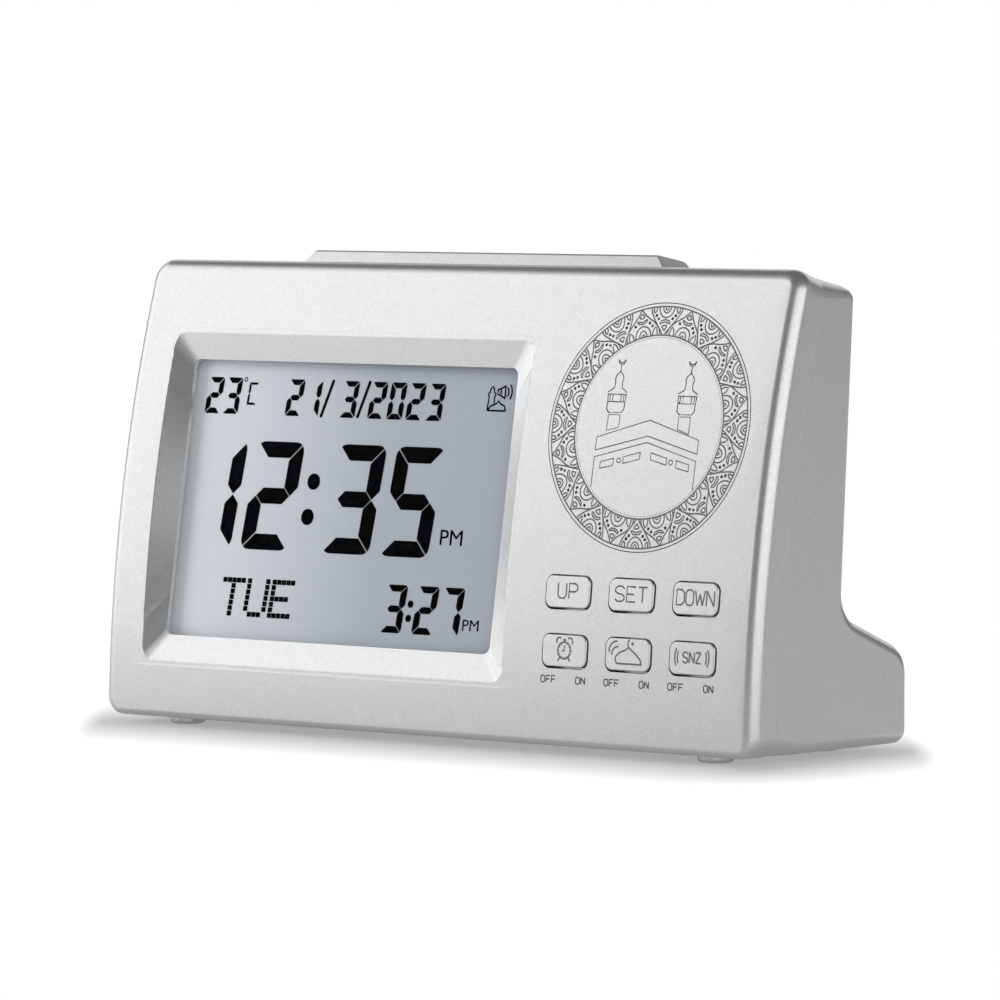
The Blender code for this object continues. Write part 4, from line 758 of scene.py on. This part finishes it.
def make_front_shell():
    """Curved front shell with its rounded rim, key holes, window recess and seat for the medallion."""
    shell = slab("front_shell", [FRONT_PAINT, GROOVE_PAINTED_SHADE], CASE_WIDTH / 2, FACE_HEIGHT / 2, CORNER_ROUND,
                 0.0, BEZEL_DEPTH, z=up(FACE_HEIGHT / 2), steps=10)
    with shaping(shell):
        mark(shell, "FACE", lambda middle, facing: facing.y > 0.9)
        bpy.ops.mesh.inset(thickness=WALL)
        extrude((0, FACE_WALL - BEZEL_DEPTH, 0))
    points = shell.data.vertices
    rim = shell.data.attributes.new("bevel_weight_edge", "FLOAT", "EDGE")
    for edge in shell.data.edges:
        a, b = (points[k].co for k in edge.vertices)
        if max(abs(a.y), abs(b.y)) < TINY:
            share = min(1.0, ((a.z + b.z) / 2 - up(0)) / CORNER_ROUND)
            low = FOOT_EDGE_ROUND / EDGE_ROUND
            rim.data[edge.index].value = low + (1 - low) * share
    finish_with(shell, "BEVEL", width=EDGE_ROUND, segments=6, limit_method="WEIGHT", use_clamp_overlap=False)
    for title, body, x, v in key_places():
        # Key holes; their walls take the near-black finish, which is painted shade in the gaps
        carve(shell, slab("hole", [PAINTED_GAP_SHADE], KEY_HALF_X + KEY_GAP, KEY_HALF_Z + KEY_GAP,
                          KEY_CORNER + KEY_GAP, -WALL, 2 * WALL, x, up(v)))
    # The seat's walls take the darker groove finish: painted shade in the gap round the medallion
    carve(shell, disc("seat", GROOVE_PAINTED_SHADE, MEDAL_RADIUS + GROOVE, 2 * MEDAL_DEPTH, (MEDAL_X, 0, up(MEDAL_V))))
    cut_in_strips(shell)
    curve_onto_face(shell)
    ledge = slab("ledge", [FRONT_PAINT], WINDOW_HALF_X + RECESS_SIDE + RIM, WINDOW_HALF_Z + RECESS_END + RIM, 0,
                 -RIM, RIM_BACK)
    settle(ledge, WINDOW)
    carve(shell, ledge, "UNION")
    carve(shell, window_cutter())
    soften_lip(shell)
    pocket = slab("pocket", [FRONT_PAINT], WINDOW_HALF_X + PANE_MARGIN + GAP, WINDOW_HALF_Z + PANE_MARGIN + GAP,
                  0, RIM, 4 * RIM_BACK)
    settle(pocket, WINDOW)
    carve(shell, pocket)
    carve(shell, make_lip(), "UNION")
    low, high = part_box("snooze_bar")
    carve(shell, slab("bar_room", [FRONT_PAINT], BAR_ROOM_HALF, BAR_ROOM_DEPTH, 0,
                      low.y - BAR_ROOM_GAP, high.y + BAR_ROOM_GAP, z=high.z))
    with shaping(shell):
        select_all()
        bpy.ops.mesh.bisect(plane_co=(0, 0, UNDERSIDE), plane_no=(0, 0, 1), use_fill=True, clear_inner=True)
    return shell


# Engraved medallion

def arc(x, z, radius, start, stop, steps=10):
    """Points on an arc; angles in degrees from straight up, growing to the right."""
    angles = [math.radians(start + (stop - start) * k / steps) for k in range(steps + 1)]
    return [(x + radius * math.sin(a), z + radius * math.cos(a)) for a in angles]


def circle(x, z, radius, steps=10):
    ring = arc(x, z, radius, 0, 360, steps)
    return ring[:-1] + ring[:1]


def in_mm(lines):
    return [[(x * MM, z * MM) for x, z in line] for line in lines]


def mirrored(lines, middle=0.0):
    return [[(2 * middle - x, z) for x, z in line] for line in lines]


def both_sides(line):
    """A line of turns and radii, and its mirror image about the fan's axis."""
    return [line, [(-turn, radius) for turn, radius in line]]


def hump(half, low, high, steps=14):
    """Half ellipse round a fan's axis: half is in degrees, low and high are radii."""
    return [(half * math.cos(math.pi * k / steps), low + (high - low) * math.sin(math.pi * k / steps))
            for k in range(steps + 1)]


def outer_fan():
    """Lines of the fan that stands on the outer line, as turns in degrees from its axis and radii in mm."""
    edge = RING_LINE / MM
    lines = [hump(1.0, edge, 20.55, 8), hump(2.4, edge, 20.05), hump(4.6, edge, 19.2),
             [(-3.6, 18.3), (-2.3, 18.72), (0, 18.84), (2.3, 18.72), (3.6, 18.3), (2.9, 18.12), (1.5, 18.34),
              (0, 18.42), (-1.5, 18.34), (-2.9, 18.12), (-3.6, 18.3)],
             [(-1.9, 17.66), (-0.9, 17.8), (0.9, 17.8), (1.9, 17.66), (0, 16.9), (-1.9, 17.66)]]
    lines += both_sides([(7.9, edge), (7.85, 20.4), (7.3, 20.1), (6.3, 20.5), (5.85, edge)])
    return lines + both_sides([(9.35, edge), (9.2, 20.6), (8.6, 20.0), (7.6, 19.3), (6.7, 18.75), (5.4, 18.1),
                               (3.9, 17.45), (2.3, 16.8), (0.6, RING_LOW / MM)])


def inner_fan():
    """Lines of the fan that stands on the inner line."""
    low = RING_LOW / MM
    lines = [hump(1.0, low, 16.6, 8), hump(2.8, low, 17.25), hump(5.7, low, 18.08),
             [(-3.4, 19.2), (-2.0, 19.1), (0, 18.88), (2.0, 19.1), (3.4, 19.2), (2.2, 18.68), (0, 18.52),
              (-2.2, 18.68), (-3.4, 19.2)],
             [(0, 20.45), (-1.75, 19.75), (0, 19.52), (1.75, 19.75), (0, 20.45)]]
    lines += both_sides([(10.4, low), (10.25, 16.9), (9.6, 17.4), (8.9, 17.64), (7.4, 17.1), (6.8, low)])
    return lines + both_sides([(0, RING_LINE / MM), (1.6, 20.35), (3.3, 19.68), (5.2, 19.15), (7.2, 18.7),
                               (8.6, 18.3), (9.8, 17.9), (11.3, 17.4), (12.0, 16.8), (12.25, low)])


def fan_cells(outer):
    """Short deep marks beside the arcs of a fan, like small square cells."""
    spots = ((6.05, 19.68), (4.55, 19.08)) if outer else ((6.6, 17.88), (4.75, 18.48))
    return [[(side * turn - CELL, radius), (side * turn + CELL, radius)] for turn, radius in spots for side in (1, -1)]


def rolled(lines, shift=0.0):
    """Places lines of turns and radii round the ring's centre."""
    return [[(radius * math.sin(math.radians(turn + shift)), radius * math.cos(math.radians(turn + shift)))
             for turn, radius in line] for line in lines]


def make_medallion_ring():
    """Ring of twelve engraved fans: one sector, engraved and copied round."""
    pitch = 2 * math.pi / FANS
    low, high = RING_INSIDE + GROOVE / 4, MEDAL_RADIUS - GROOVE / 2
    sector = begin("medallion_ring", [FRONT_PAINT], bpy.ops.mesh.primitive_plane_add, size=1,
                   rotation=(0, math.pi / 2, 0), scale=(high - low, MEDAL_DEPTH, 1),
                   location=(0, MEDAL_DEPTH / 2, (low + high) / 2))
    settle(sector, Matrix.Rotation(-pitch / 2, 4, "Y"))
    with shaping(sector):
        select_all()
        bpy.ops.mesh.spin(steps=RING_STEPS // FANS, angle=-pitch, center=(0, 0, 0), axis=(0, 1, 0))
    outward(sector)
    half = math.degrees(pitch) / 2
    lines, cells = rolled(outer_fan()), rolled(fan_cells(True))
    for side in (-1, 1):
        lines += rolled(inner_fan(), side * half)
        cells += rolled(fan_cells(False), side * half)
    lines += rolled([[(half * 1.1 * (k / 11 - 1), radius / MM) for k in range(23)] for radius in (RING_LOW, RING_LINE)])
    engrave(sector, in_mm(lines), FAN_GROOVE)
    engrave(sector, in_mm(cells), CELL_GROOVE)
    side_way = Vector((math.cos(pitch / 2), 0, -math.sin(pitch / 2)))
    with shaping(sector):
        mark(sector, "FACE", lambda middle, facing: Vector((abs(facing.x), 0, facing.z)).dot(side_way) > 0.999)
        bpy.ops.mesh.delete(type="FACE")
    ring = joined([sector] + [copy_of(sector, Matrix.Rotation(k * pitch, 4, "Y")) for k in range(1, FANS)],
                  "medallion_ring")
    with shaping(ring):
        select_all()
        bpy.ops.mesh.remove_doubles(threshold=TINY / 2)
    return ring


def minaret_lines(middle, falling=False):
    """Tower with a gallery, a pointed cap and a crescent; its foot rises or falls with the roof below."""
    half = [[(1.9, 4.15), (1.9, 2.85), (1.4, 2.25), (0, 2.2)], [(2.0, 5.45), (1.9, 4.15), (0, 4.12)],
            [(0, 5.45), (2.0, 5.45)], [(0.9, 5.4), (0.9, 4.15)], [(1.5, 5.4), (1.5, 4.2)],
            [(2.15, 5.8), (0.85, 6.55), (0.75, 7.6), (0.9, 8.2), (0.7, 8.85), (0, 9.5)], [(0, 9.5), (0, 10.65)]]
    low = (-0.35, -1.15) if falling else (-0.95, -0.3)
    lines = half + mirrored(half[:-1]) + [[(-1.28, low[0]), (-1.28, 1.85), (1.28, 1.85), (1.28, low[1]),
                                           (-1.28, low[0])]]
    lines.append([(-0.8, 11.6), (-0.62, 10.95), (0, 10.62), (0.62, 10.95), (0.8, 11.6), (0.45, 11.15), (0, 10.98),
                  (-0.45, 11.15), (-0.8, 11.6)])
    return [[(x + middle, z) for x, z in line] for line in lines]


def building_lines():
    """Cube-shaped building seen on its corner, with its band and openings."""
    lines = [[(-11.05, -4.45), (-11.05, -2.15), (0.15, 1.1), (11.3, -2.1), (11.3, -4.5), (0.15, -1.7),
              (-11.05, -4.45)],
             [(-11.0, -10.9), (-11.0, -5.6), (0.15, -2.8), (11.25, -5.75), (11.25, -10.75)]]
    right = [[(1.35, -4.55), (4.95, -5.45), (4.9, -6.6), (1.35, -5.75), (1.35, -4.55)],
             [(7.0, -5.75), (9.85, -6.4), (9.85, -7.6), (7.05, -7.0), (7.0, -5.75)], circle(5.85, -6.1, 0.42)]
    return lines + right + mirrored(right, 0.15)


def make_medallion_picture():
    """Middle of the medallion: a disc with a plain drawing of a building between two towers."""
    picture = disc("medallion_picture", FRONT_PAINT, RING_INSIDE - GROOVE / 4, MEDAL_DEPTH, (0, MEDAL_DEPTH / 2, 0))
    engrave(picture, in_mm(building_lines() + minaret_lines(-7.85) + minaret_lines(7.6, falling=True)), GROOVE * 0.9)
    return picture


# Keys

LETTERS = {
    "U": [[(0, 1), (0, 0.2), (0.15, 0), (0.45, 0), (0.6, 0.2), (0.6, 1)]],
    "P": [[(0, 0), (0, 1), (0.42, 1), (0.6, 0.86), (0.6, 0.6), (0.42, 0.46), (0, 0.46)]],
    "S": [[(0.6, 0.84), (0.45, 1), (0.15, 1), (0, 0.84), (0, 0.66), (0.14, 0.53), (0.46, 0.47), (0.6, 0.34),
           (0.6, 0.16), (0.45, 0), (0.15, 0), (0, 0.16)]],
    "E": [[(0.6, 1), (0, 1), (0, 0), (0.6, 0)], [(0, 0.5), (0.5, 0.5)]],
    "T": [[(0, 1), (0.6, 1)], [(0.3, 1), (0.3, 0)]],
    "D": [[(0, 0), (0, 1), (0.38, 1), (0.6, 0.8), (0.6, 0.2), (0.38, 0), (0, 0)]],
    "O": [[(0.15, 0), (0, 0.18), (0, 0.82), (0.15, 1), (0.45, 1), (0.6, 0.82), (0.6, 0.18), (0.45, 0), (0.15, 0)]],
    "W": [[(0, 1), (0.15, 0), (0.3, 0.75), (0.45, 0), (0.6, 1)]],
    "N": [[(0, 0), (0, 1), (0.6, 0), (0.6, 1)]],
    "F": [[(0.6, 1), (0, 1), (0, 0)], [(0, 0.5), (0.5, 0.5)]],
    "Z": [[(0, 1), (0.6, 1), (0, 0), (0.6, 0)]],
}


def word_lines(word, width, height, space, x=0.0, z=0.0):
    """Strokes of a word centred on x and z, W wider than the rest; sizes in millimetres."""
    widths = [width * (1.3 if letter == "W" else 1) for letter in word]
    left = x - (sum(widths) + (len(word) - 1) * space) / 2
    lines = []
    for letter, wide in zip(word, widths):
        lines += [[(left + px / 0.6 * wide, z + (pz - 0.5) * height) for px, pz in line] for line in LETTERS[letter]]
        left += wide + space
    return lines


def alarm_clock_lines():
    """Round clock with twelve marks, two bells and two feet."""
    lines = [circle(0, -0.1, 1.45, 20), [(0, 0.75), (0, -0.15), (-0.55, -0.15)]]
    lines += [[(1.1 * math.sin(a), -0.1 + 1.1 * math.cos(a)), (1.25 * math.sin(a), -0.1 + 1.25 * math.cos(a))]
              for a in (math.radians(30 * k) for k in range(1, 12))]
    for side in (1, -1):
        lines += [arc(side * 1.15, 1.5, 0.62, side * -40, side * 130, 6), [(side * 0.95, -1.3), (side * 1.3, -1.95)]]
    return lines + [[(-0.3, 1.75), (0.3, 1.75)], [(0, 1.4), (0, 1.75)]]


def dome_lines():
    """Dome with a crescent and the waves of a call."""
    dome = [(-2.3, -1.75), (-2.65, -1.2), (-2.6, -0.55), (-1.7, 0.2), (-0.6, 0.55), (0.2, 1.1), (0.9, 0.55),
            (1.9, -0.1), (2.8, -0.95), (3.15, -1.75), (-2.3, -1.75)]
    return [dome, [(0.2, 1.1), (-0.05, 1.6), (0.05, 2.1), (0.35, 2.45)], circle(1.0, 1.75, 0.17, 6),
            [(-4.1, 0.2), (-4.05, 0.85), (-3.65, 1.55), (-2.95, 2.0), (-2.3, 2.05)],
            [(-3.5, -0.3), (-3.4, 0.35), (-2.9, 0.95), (-2.1, 1.2)]]


def snooze_lines():
    """Three letters between sound waves."""
    waves = [arc(-0.6, 0, 3.1, -118, -62, 6), arc(-0.6, 0, 2.55, -114, -66, 6)]
    return waves + mirrored(waves) + word_lines("SNZ", 1.05, 1.8, 0.35)


LEGENDS = {
    "key_up": word_lines("UP", 1.85, 2.6, 0.6), "key_set": word_lines("SET", 1.95, 2.6, 0.55),
    "key_down": word_lines("DOWN", 1.65, 2.6, 0.35), "key_alarm": alarm_clock_lines(), "key_prayer": dome_lines(),
    "key_snooze_switch": snooze_lines(),
}


def make_keys():
    """Six soft-edged caps with their legends cut in; the cap is modelled once and copied."""
    cap = slab("cap", [KEY_PAINT], KEY_HALF_X, KEY_HALF_Z, KEY_CORNER, -KEY_PROUD, KEY_STEM)
    with shaping(cap):
        mark(cap, "EDGE", lambda middle, along: abs(middle.y + KEY_PROUD) < TINY)
        bevel(KEY_EDGE, 5)
        mark(cap, "FACE", lambda middle, facing: facing.y > 0.9)
        bpy.ops.mesh.delete(type="FACE")
    flange = slab("flange", [KEY_PAINT], KEY_HALF_X + KEY_FLANGE, KEY_HALF_Z + KEY_FLANGE, KEY_CORNER, KEY_STEM,
                  KEY_STEM + KEY_FLANGE)
    with shaping(cap):
        select_open_edges()
        bpy.ops.mesh.edge_face_add()
    carve(cap, flange, "UNION")
    for title, body, x, v in key_places():
        key = copy_of(cap)
        key.name = key.data.name = title.replace("key_", "cap_")
        engrave(key, in_mm(LEGENDS[title]), KEY_GROOVE, Matrix.Translation((0, -KEY_PROUD, LEGEND_RAISE)))
        settle(key, leaning(face_point(x, v + KEY_LIFT), face_lean(v)))
        attach(smooth(key), body, "silver_plastic", title)
    bpy.data.objects.remove(cap)


def make_key_words():
    """OFF and ON printed below the lower keys."""
    lines = []
    for title, body, x, v in key_places()[3:]:
        for word, shift in (("OFF", -3.55), ("ON", 3.6)):
            lines += word_lines(word, 0.85, 1.15, 0.32, x / MM + shift, (up(v) - KEY_HALF_Z) / MM - 2.15)
    printed = tubes("switch_words", PRINT_INK, in_mm(lines), PRINT, flat=0.25)
    curve_onto_face(printed)
    attach(printed, "case", "silver_plastic")


# Display

def bar(left, right, low, high, cuts):
    """Flat bar whose corners (left low, right low, right high, left high) are cut off at 45 degrees."""
    piece = slab("segment", [SEGMENT_INK], (right - left) / 2, (high - low) / 2, 0, -INK / 2, INK / 2,
                 (left + right) / 2, (low + high) / 2)
    corners = ((left, low), (right, low), (right, high), (left, high))
    for (x, z), cut in zip(corners, cuts):
        if cut:
            with shaping(piece):
                mark(piece, "EDGE", lambda middle, along: abs(along.y) > 0.9
                     and abs(middle.x - x) + abs(middle.z - z) < TINY)
                bevel(cut - TINY / 10, 1)
    return piece


def seven_segments(*sizes):
    """The seven bars of a digit, mitred to each other and rounded at the digit's corners.

    Sizes in millimetres: width, height, thickness of bars across and upright, gap, corner.
    """
    right, height, across, upright, gap, corner = (size * MM for size in sizes)
    half, tip = height / 2, upright / 2
    bars = {
        "a": bar(gap, right - gap, height - across, height, (across, across, 0, 0)),
        "b": bar(right - upright, right, half + gap / 2, height - gap, (tip, tip, 0, upright)),
        "c": bar(right - upright, right, gap, half - gap / 2, (upright, 0, tip, tip)),
        "d": bar(gap, right - gap, 0, across, (0, 0, across, across)),
        "e": bar(0, upright, gap, half - gap / 2, (0, upright, tip, tip)),
        "f": bar(0, upright, half + gap / 2, height - gap, (tip, tip, upright, 0)),
        "g": bar(tip + gap, right - tip - gap, half - across / 2, half + across / 2, (across / 2,) * 4),
    }
    for piece in bars.values():
        carve(piece, slab("digit", [SEGMENT_INK], right / 2, half, corner, -INK, INK, right / 2, half, 5),
              "INTERSECT")
    return bars


DIGITS = {"0": "abcdef", "1": "bc", "2": "abged", "3": "abgcd", "5": "afgcd", "7": "abc", "C": "afed"}
SLANTED = Matrix(((1, 0, SLANT, 0), (0, 1, 0, 0), (0, 0, 1, 0), (0, 0, 0, 1)))


def digits(name, bars, placed, low):
    """Slanted digits: placed is a list of digit and its left edge at mid height, in millimetres."""
    return joined([copy_of(bars[letter], Matrix.Translation((x * MM, INK_DEPTH, low * MM)) @ SLANTED)
                   for digit, x in placed for letter in DIGITS[digit]], name)


def dots(name, places, radius_x, radius_z, corner=0.98, steps=8):
    """Round or square spots of ink, each a copy of the first; corner is a share of their width."""
    first = slab("dot", [SEGMENT_INK], radius_x * MM, radius_z * MM, radius_x * corner * MM, -INK / 2, INK / 2,
                 steps=steps)
    pieces = [copy_of(first, Matrix.Translation((x * MM, INK_DEPTH, z * MM))) for x, z in places]
    bpy.data.objects.remove(first)
    return joined(pieces, name)


DOT_LETTERS = {
    "T": ("11111", "00100", "00100", "00100", "00100", "00100", "00100"),
    "U": ("10001", "10001", "10001", "10001", "10001", "10001", "01110"),
    "E": ("11111", "10000", "10000", "11110", "10000", "10000", "11111"),
}


def strokes(name, lines, radius, flat=0.2):
    """Thin lines of ink."""
    return tubes(name, SEGMENT_INK, in_mm(lines), radius * MM, Matrix.Translation((0, INK_DEPTH, 0)), flat)


def words(name, text, x, z, width, height):
    """Plain lettering whose left foot is at x and z, in millimetres."""
    bpy.ops.object.select_all(action="DESELECT")
    bpy.ops.object.text_add()
    piece = bpy.context.view_layer.objects.active
    piece.data.body = text
    piece.data.extrude = INK / 2
    piece.data.resolution_u = 4
    bpy.ops.object.convert(target="MESH")
    piece.name = piece.data.name = name
    dress(piece, SEGMENT_INK)
    (left, right), (low, high) = ((min(values), max(values)) for values in (
        [point.co[k] for point in piece.data.vertices] for k in (0, 1)))
    piece.data.transform(
        Matrix.Translation((x * MM, INK_DEPTH, z * MM)) @ Matrix.Rotation(math.pi / 2, 4, "X")
        @ Matrix.Diagonal((width * MM / (right - left), height * MM / (high - low), 1, 1))
        @ Matrix.Translation((-left, -low, 0)))
    return piece


def icon_lines():
    """Small sign of a tower, a dome and a loudspeaker."""
    tower = [(0.1, 0.1), (0.3, 2.6), (0.1, 2.75), (0.15, 3.2), (0.45, 3.25), (0.55, 3.9), (0.95, 4.35), (1.35, 3.9),
             (1.4, 3.25), (1.7, 3.2), (1.75, 2.75), (1.5, 2.6), (1.55, 1.4)]
    dome = [(0.1, 0.1), (0.9, 0.95), (2.1, 1.35), (2.55, 1.85), (3.0, 1.35), (4.0, 0.95), (4.3, 0.1), (0.1, 0.1)]
    horn = [(2.2, 3.9), (2.2, 2.95), (2.65, 2.95), (3.9, 2.3), (3.9, 4.55), (2.65, 3.9), (2.2, 3.9)]
    lines = [tower, dome, horn, [(2.9, 3.1), (2.9, 3.75)]]
    lines += [arc(3.3, 3.4, radius, 50, 125, 6) for radius in (1.35, 2.1)]
    return [[(x + 30.05, z + 17.75) for x, z in line] for line in lines]


def make_display_ink():
    """Everything the display shows, laid out round the window's middle and leaned into place."""
    big = seven_segments(11.3, 19.7, 2.9, 3.2, 0.14, 1.9)
    date = seven_segments(3.65, 6.65, 1.02, 1.12, 0.12, 0.5)
    small = seven_segments(4.78, 8.6, 1.22, 1.45, 0.1, 0.7)
    letter = seven_segments(2.2, 4.1, 0.42, 0.45, 0.04, 0.1)
    spots = [(5.95 * k - 27.6 + 1.1 * column + SLANT * (6 - row) * 1.01, -14.5 - 1.01 * row)
             for k, name in enumerate("TUE") for row, marks in enumerate(DOT_LETTERS[name])
             for column, lit in enumerate(marks) if lit == "1"]
    pieces = [
        digits("time_digits", big, (("1", -38.1), ("2", -24.45), ("3", -5.0), ("5", 8.7)), -8.8),
        dots("time_colon", ((-8.42, 3.94), (-9.04, -2.47)), 1.475, 1.475),
        digits("temperature_digits", date, (("2", -36.6), ("3", -32.2)), 15.65),
        digits("date_digits", date, (("2", -17.15), ("1", -12.9), ("3", -4.15), ("2", 2.5), ("0", 7.0), ("2", 11.45),
                                     ("3", 16.05)), 15.65),
        digits("alarm_digits", small, (("3", 10.8), ("2", 18.1), ("7", 24.0)), -22.35),
        dots("alarm_colon", ((17.3, -17.05), (17.1, -19.6)), 0.66, 0.66),
        words("time_half", "PM", 22.5, -6.3, 5.1, 2.7), words("alarm_half", "PM", 29.7, -21.2, 3.7, 1.95),
        strokes("date_strokes", [[(-8.45, 15.6), (-6.15, 22.4)], [(0.2, 15.7), (2.48, 22.4)]], 0.31, 0.1),
        strokes("degree_ring", [circle(-27.25, 22.0, 0.35, 12)], 0.1),
        digits("degree_letter", letter, (("C", -26.55),), 17.4), strokes("call_sign", icon_lines(), 0.16),
        dots("weekday_dots", spots, 0.5, 0.45, 0.2, 2),
    ]
    for piece in (piece for bars in (big, date, small, letter) for piece in bars.values()):
        bpy.data.objects.remove(piece)
    for piece in pieces:
        settle(piece, WINDOW)
        attach(piece, "case", "display_glass")


# Camera, light and ground

def place_camera():
    """The photograph's view: from the front right, a little above."""
    yaw, pitch = CAMERA_YAW, CAMERA_PITCH
    right = Vector((math.cos(yaw), math.sin(yaw), 0))
    view = Vector((-math.sin(yaw) * math.cos(pitch), math.cos(yaw) * math.cos(pitch), -math.sin(pitch)))
    camera = link(bpy.data.objects.new("camera", bpy.data.cameras.new("camera")))
    camera.data.sensor_width = 36.0
    camera.data.lens = CAMERA_LENS
    camera.data.clip_end = 20.0
    turn = Matrix((right, right.cross(view), -view)).transposed().to_4x4()
    camera.matrix_world = Matrix.Translation(CAMERA_TARGET - view * CAMERA_DISTANCE) @ turn
    bpy.context.scene.camera = camera


def softbox(name, azimuth, elevation, distance, width, height, power):
    """Area lamp that looks at the clock; azimuth 0 is in front and 90 to its right."""
    a, e = math.radians(azimuth), math.radians(elevation)
    lamp = link(bpy.data.objects.new(name, bpy.data.lights.new(name, "AREA")))
    lamp.data.shape = "RECTANGLE"
    lamp.data.size, lamp.data.size_y = width, height
    lamp.data.energy = power
    away = Vector((math.sin(a) * math.cos(e), -math.cos(a) * math.cos(e), math.sin(e)))
    lamp.location = LAMP_AIM + away * distance
    lamp.rotation_mode = "QUATERNION"
    lamp.rotation_quaternion = away.to_track_quat("Z", "Y")


def make_room():
    """Dim room light, with plain white for the camera."""
    world = bpy.data.worlds.new("studio")
    bpy.context.scene.world = world
    world.use_nodes = True
    tree = world.node_tree
    tree.nodes.clear()
    seen = node(tree, "LightPath").outputs["Is Camera Ray"]
    room = node(tree, "Background", {"Color": (0.97, 0.98, 1.0, 1), "Strength": ROOM_STRENGTH}).outputs[0]
    white = node(tree, "Background", {"Color": (1, 1, 1, 1), "Strength": 1.0}).outputs[0]
    blend = node(tree, "MixShader", {0: seen, 1: room, 2: white}).outputs[0]
    node(tree, "OutputWorld", {"Surface": blend})


def floor_reach(tree):
    """How far a point of the floor is from the clock's outline, along the photograph's view or across it."""
    here = own_place(tree)
    turn = (math.cos(CAMERA_YAW), math.sin(CAMERA_YAW), 0)
    along = vectors(tree, "SUBTRACT", vectors(tree, "ABSOLUTE", here), (*FLOOR_HALF, 0))
    along = vectors(tree, "MAXIMUM", along, (0, 0, 0))
    along = vectors(tree, "MULTIPLY", along, (1 / turn[1], 1 / turn[0], 0))
    across = maths(tree, "ABSOLUTE", vectors(tree, "DOT_PRODUCT", here, turn, out="Value"))
    across = maths(tree, "MAXIMUM", maths(tree, "SUBTRACT", across, FLOOR_ACROSS[0]), 0.0)
    across = node(tree, "CombineXYZ", {"Z": maths(tree, "MULTIPLY", across, FLOOR_ACROSS[1])}).outputs[0]
    return vectors(tree, "LENGTH", vectors(tree, "ADD", along, across), out="Value")


def make_floor():
    """Pale floor that keeps the clock's shadow near it and is plain white further off."""
    finish, tree, shader = new_finish("pale_floor", (0.8, 0.8, 0.8), 0.7)
    floor = begin("floor", [finish], bpy.ops.mesh.primitive_plane_add, size=1, scale=(12.0, 12.0, 1))
    fade = remap(tree, floor_reach(tree), FLOOR_FADE, (FLOOR_LEAST, 1.0))
    path = node(tree, "LightPath").outputs
    seen = maths(tree, "MAXIMUM", path["Is Camera Ray"], path["Is Glossy Ray"])
    level = remap(tree, path["Is Camera Ray"], target=(FLOOR_IN_METAL, 1.0))
    glow = node(tree, "Emission", {"Color": (1, 1, 1, 1), "Strength": level}).outputs[0]
    blend = node(tree, "MixShader", {0: maths(tree, "MULTIPLY", fade, seen), 1: shader.outputs[0], 2: glow}).outputs[0]
    feed(tree, tree.nodes["Material Output"].inputs, {"Surface": blend})


# Putting it together

bpy.context.scene.view_settings.view_transform = "Standard"
place_camera()
make_room()
make_floor()
for name, settings in LAMPS.items():
    softbox(name, *settings)
dress_solids()

front = make_front_shell()
insert = joined([make_medallion_ring(), make_medallion_picture()], "medallion")
settle(insert, Matrix.Translation((MEDAL_X, 0, up(MEDAL_V))))
cut_in_strips(insert)
curve_onto_face(insert)
attach(joined([smooth(front), smooth(insert, 5)], "front_shell"), "case", "silver_plastic", "front_bezel")

rear_shell = merged_copy("rear_case", "rear_shell", REAR_PAINT)
soften_seam(rear_shell)
round_top_back(rear_shell)
attach(smooth(rear_shell), "case", "silver_plastic", "rear_case")
attach(merged_copy("battery_door", "door_panel", REAR_PAINT), "door", "silver_plastic", "battery_door")
for k, corner in enumerate(("front_left", "front_right", "rear_left", "rear_right")):
    foot = "foot_" + corner
    attach(merged_copy(foot, f"foot_pad_{k + 1}", FOOT_PLASTIC), "case", "foot_plastic", foot)

bar_cover = merged_copy("snooze_bar", "bar_cover", BAR_PAINT)
with shaping(bar_cover):
    crest = max(point.co.z for point in bar_cover.data.vertices)
    mark(bar_cover, "EDGE", lambda middle, along: abs(along.x) > 0.95 and middle.z > crest - TINY)
    bevel(BAR_EDGE, 4)
finish_with(bar_cover, "BEVEL", width=BAR_EDGE / 6, segments=2, limit_method="ANGLE", angle_limit=math.radians(20))
attach(smooth(bar_cover), "top_bar", "silver_plastic", "snooze_bar")
for title, name, slot in (
        ("snooze_dome", "switch_dome", "grey_rubber"), ("snooze_spring_left", "return_spring_1", "plated_steel"),
        ("snooze_spring_right", "return_spring_2", "plated_steel")):
    elastic = merged_copy(title, name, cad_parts[title].data.materials[0])
    attach(elastic, "case", slot, title)
    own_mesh(elastic)

make_keys()
make_key_words()
make_display_ink()
